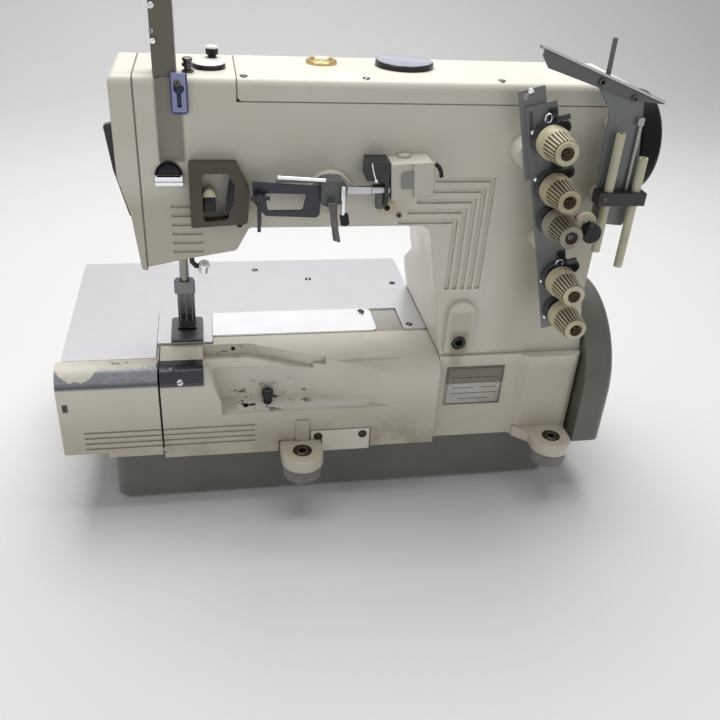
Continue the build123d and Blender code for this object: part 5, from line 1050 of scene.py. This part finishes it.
ARM_BACK_SCREWS_X = (6, 118, 300)
ARM_BACK_SCREW_Z = 368
BED_BACK_SCREWS_X = (-40, 150)
BED_BACK_SCREW_Z = 118
DRAIN_X, DRAIN_Z = 318, 22
FACE_SCREWS_AT = ((-44.4, -47, 388), (-44.4, 20, 388), (-36.6, -44, 304), (-36.6, 16, 304))
BELT_COVER_SCREWS_AT = ((-56, 66), (66, 66), (4, 176))


def back_pieces():
    """Screws of the covers and bushes, and the drain plug, on the sides away from the operator."""
    for index, x in enumerate(ARM_BACK_SCREWS_X):
        socket_screw(f"arm_back_screw_{index + 1}", (x, FACE_COVER_HIGH.y - SUNK, ARM_BACK_SCREW_Z), BACK,
                     3.4, 2.0)
    for index, x in enumerate(BED_BACK_SCREWS_X):
        socket_screw(f"bed_back_screw_{index + 1}", (x, PLATE_HIGH.y - SUNK, BED_BACK_SCREW_Z), BACK,
                     3.4, 1.4)
    washer_y = PAN_HIGH.y - SUNK
    lathe("drain_washer", (DRAIN_X, washer_y, DRAIN_Z), BACK, [(9.5, 0), (9.5, 1.2), (0, 1.2)], "iron")
    lathe("drain_plug", (DRAIN_X, washer_y + 1.0, DRAIN_Z), BACK, [
        (8.0, 0), (8.0, 4.6), (7.2, 5.2), (0, 5.2)], "dark_steel", steps=6)
    for index, at in enumerate(FACE_SCREWS_AT):
        screw(f"face_screw_{index + 1}", at, LEFT, 3.4, 1.4, turn=65 * index)
    for index, (y, z) in enumerate(BELT_COVER_SCREWS_AT):
        screw(f"belt_cover_screw_{index + 1}", (BELT_COVER_HIGH.x - 0.1, y, z), RIGHT, 4.0, 1.8,
              turn=80 * index)


head_pieces()
guard_lever()
wiper_pieces()
solenoid_patch()
bed_pieces()
tension_pieces()
stand_pieces()
oil_cap_reflection_disc()
back_pieces()


# Stage and camera, in metres

FLOOR_X = (-2.6, 3.2)
FLOOR_FRONT_Y = -2.6
BACKDROP_Y = 2.2
BACKDROP_TOP_Z = 2.4
BACKDROP_BEND_R = 0.9
BACKDROP_STEPS = 16
FLOOR_IN_GLOSS = 0.42
WORLD_IN_GLOSS = 0.44
WORLD_LIGHT = 0.25
WORLD_COLOUR = (0.95, 0.97, 1.0, 1.0)
WARM_WHITE = (1.0, 0.99, 0.98)
COOL_WHITE = (0.98, 0.99, 1.0)

# Lamps: name, place, size, watts and colour; all are aimed at one point
LAMPS = (
    ("top_softbox", (0.20, 0.45, 1.80), 1.5, 38, WARM_WHITE),
    ("left_softbox", (-1.4, -0.9, 1.1), 1.1, 4, COOL_WHITE),
    ("front_fill", (0.9, -1.7, 0.9), 1.4, 3, WARM_WHITE),
)
LAMPS_AIM = (0.15, 0.0, 0.25)

CAMERA_AT = (0.0270, -0.7025, 0.5560)
CAMERA_PITCH = radians(31.42)
CAMERA_YAW = radians(11.67)
CAMERA_ROLL = radians(3.78)
CAMERA_LENS = 40.75
CAMERA_SENSOR = 36


def make_floor():
    """Plain pale floor with a backdrop that curves up behind."""
    profile = [(FLOOR_FRONT_Y, 0.0)]
    for i in range(BACKDROP_STEPS + 1):
        angle = i / BACKDROP_STEPS * pi / 2
        profile.append((BACKDROP_Y - BACKDROP_BEND_R * (1 - sin(angle)), BACKDROP_BEND_R * (1 - cos(angle))))
    profile.append((BACKDROP_Y, BACKDROP_TOP_Z))
    mesh = bpy.data.meshes.new("floor")
    bm = bmesh.new()
    rows = [[bm.verts.new((x, y, z)) for x in FLOOR_X] for y, z in profile]
    for a, b in zip(rows, rows[1:]):
        bm.faces.new((a[0], a[1], b[1], b[0]))
    bm.to_mesh(mesh)
    bm.free()
    floor = new_object("floor", mesh)
    shade(floor)
    mat, tree, shader, coords = new_material("floor_paint")
    tone = mixed(noise(coords, 2, 2), srgb(222, 222, 222), srgb(228, 228, 227))
    link(tone, shader.inputs["Base Color"])
    shader.inputs["Roughness"].default_value = 0.75
    # The floor also glows, seen only in reflections
    rays = tree.nodes.new("ShaderNodeLightPath")
    shader.inputs["Emission Color"].default_value = (1, 1, 1, 1)
    glow = product(rays.outputs["Is Glossy Ray"], FLOOR_IN_GLOSS)
    link(glow, shader.inputs["Emission Strength"])
    dress(floor, mat)


def make_world():
    """Even light from all around, brighter where metal and glass mirror it."""
    world = bpy.data.worlds.new("studio")
    world.use_nodes = True
    tree = world.node_tree
    back = tree.nodes["Background"]
    back.inputs["Color"].default_value = WORLD_COLOUR
    rays = tree.nodes.new("ShaderNodeLightPath")
    glossy = product(rays.outputs["Is Glossy Ray"], WORLD_IN_GLOSS)
    link(maths("ADD", glossy, WORLD_LIGHT), back.inputs["Strength"])
    bpy.context.scene.world = world


def make_lamps():
    """Square soft lamps: a strong one above and behind, weak ones at the left and in front."""
    for name, place, size, watts, colour in LAMPS:
        lamp = bpy.data.lights.new(name, "AREA")
        lamp.shape = "SQUARE"
        lamp.size = size
        lamp.energy = watts
        lamp.color = colour
        obj = new_object(name, lamp)
        obj.location = place
        obj.rotation_euler = (Vector(LAMPS_AIM) - Vector(place)).to_track_quat("-Z", "Y").to_euler()


def make_camera():
    """Camera at the photograph's place, with its pitch, yaw and roll."""
    ahead = Vector((sin(CAMERA_YAW) * cos(CAMERA_PITCH), cos(CAMERA_YAW) * cos(CAMERA_PITCH),
                    -sin(CAMERA_PITCH)))
    level = Vector((cos(CAMERA_YAW), -sin(CAMERA_YAW), 0))
    up = level.cross(ahead)
    right = cos(CAMERA_ROLL) * level + sin(CAMERA_ROLL) * up
    top = -sin(CAMERA_ROLL) * level + cos(CAMERA_ROLL) * up
    turn = Matrix((right, top, -ahead)).transposed().to_4x4()
    lens = bpy.data.cameras.new("camera")
    lens.lens = CAMERA_LENS
    lens.sensor_width = CAMERA_SENSOR
    lens.clip_start = 0.01
    camera = new_object("camera", lens)
    camera.matrix_world = Matrix.Translation(CAMERA_AT) @ turn
    bpy.context.scene.camera = camera


make_floor()
make_world()
make_lamps()
make_camera()
bpy.context.scene.view_settings.view_transform = "Standard"
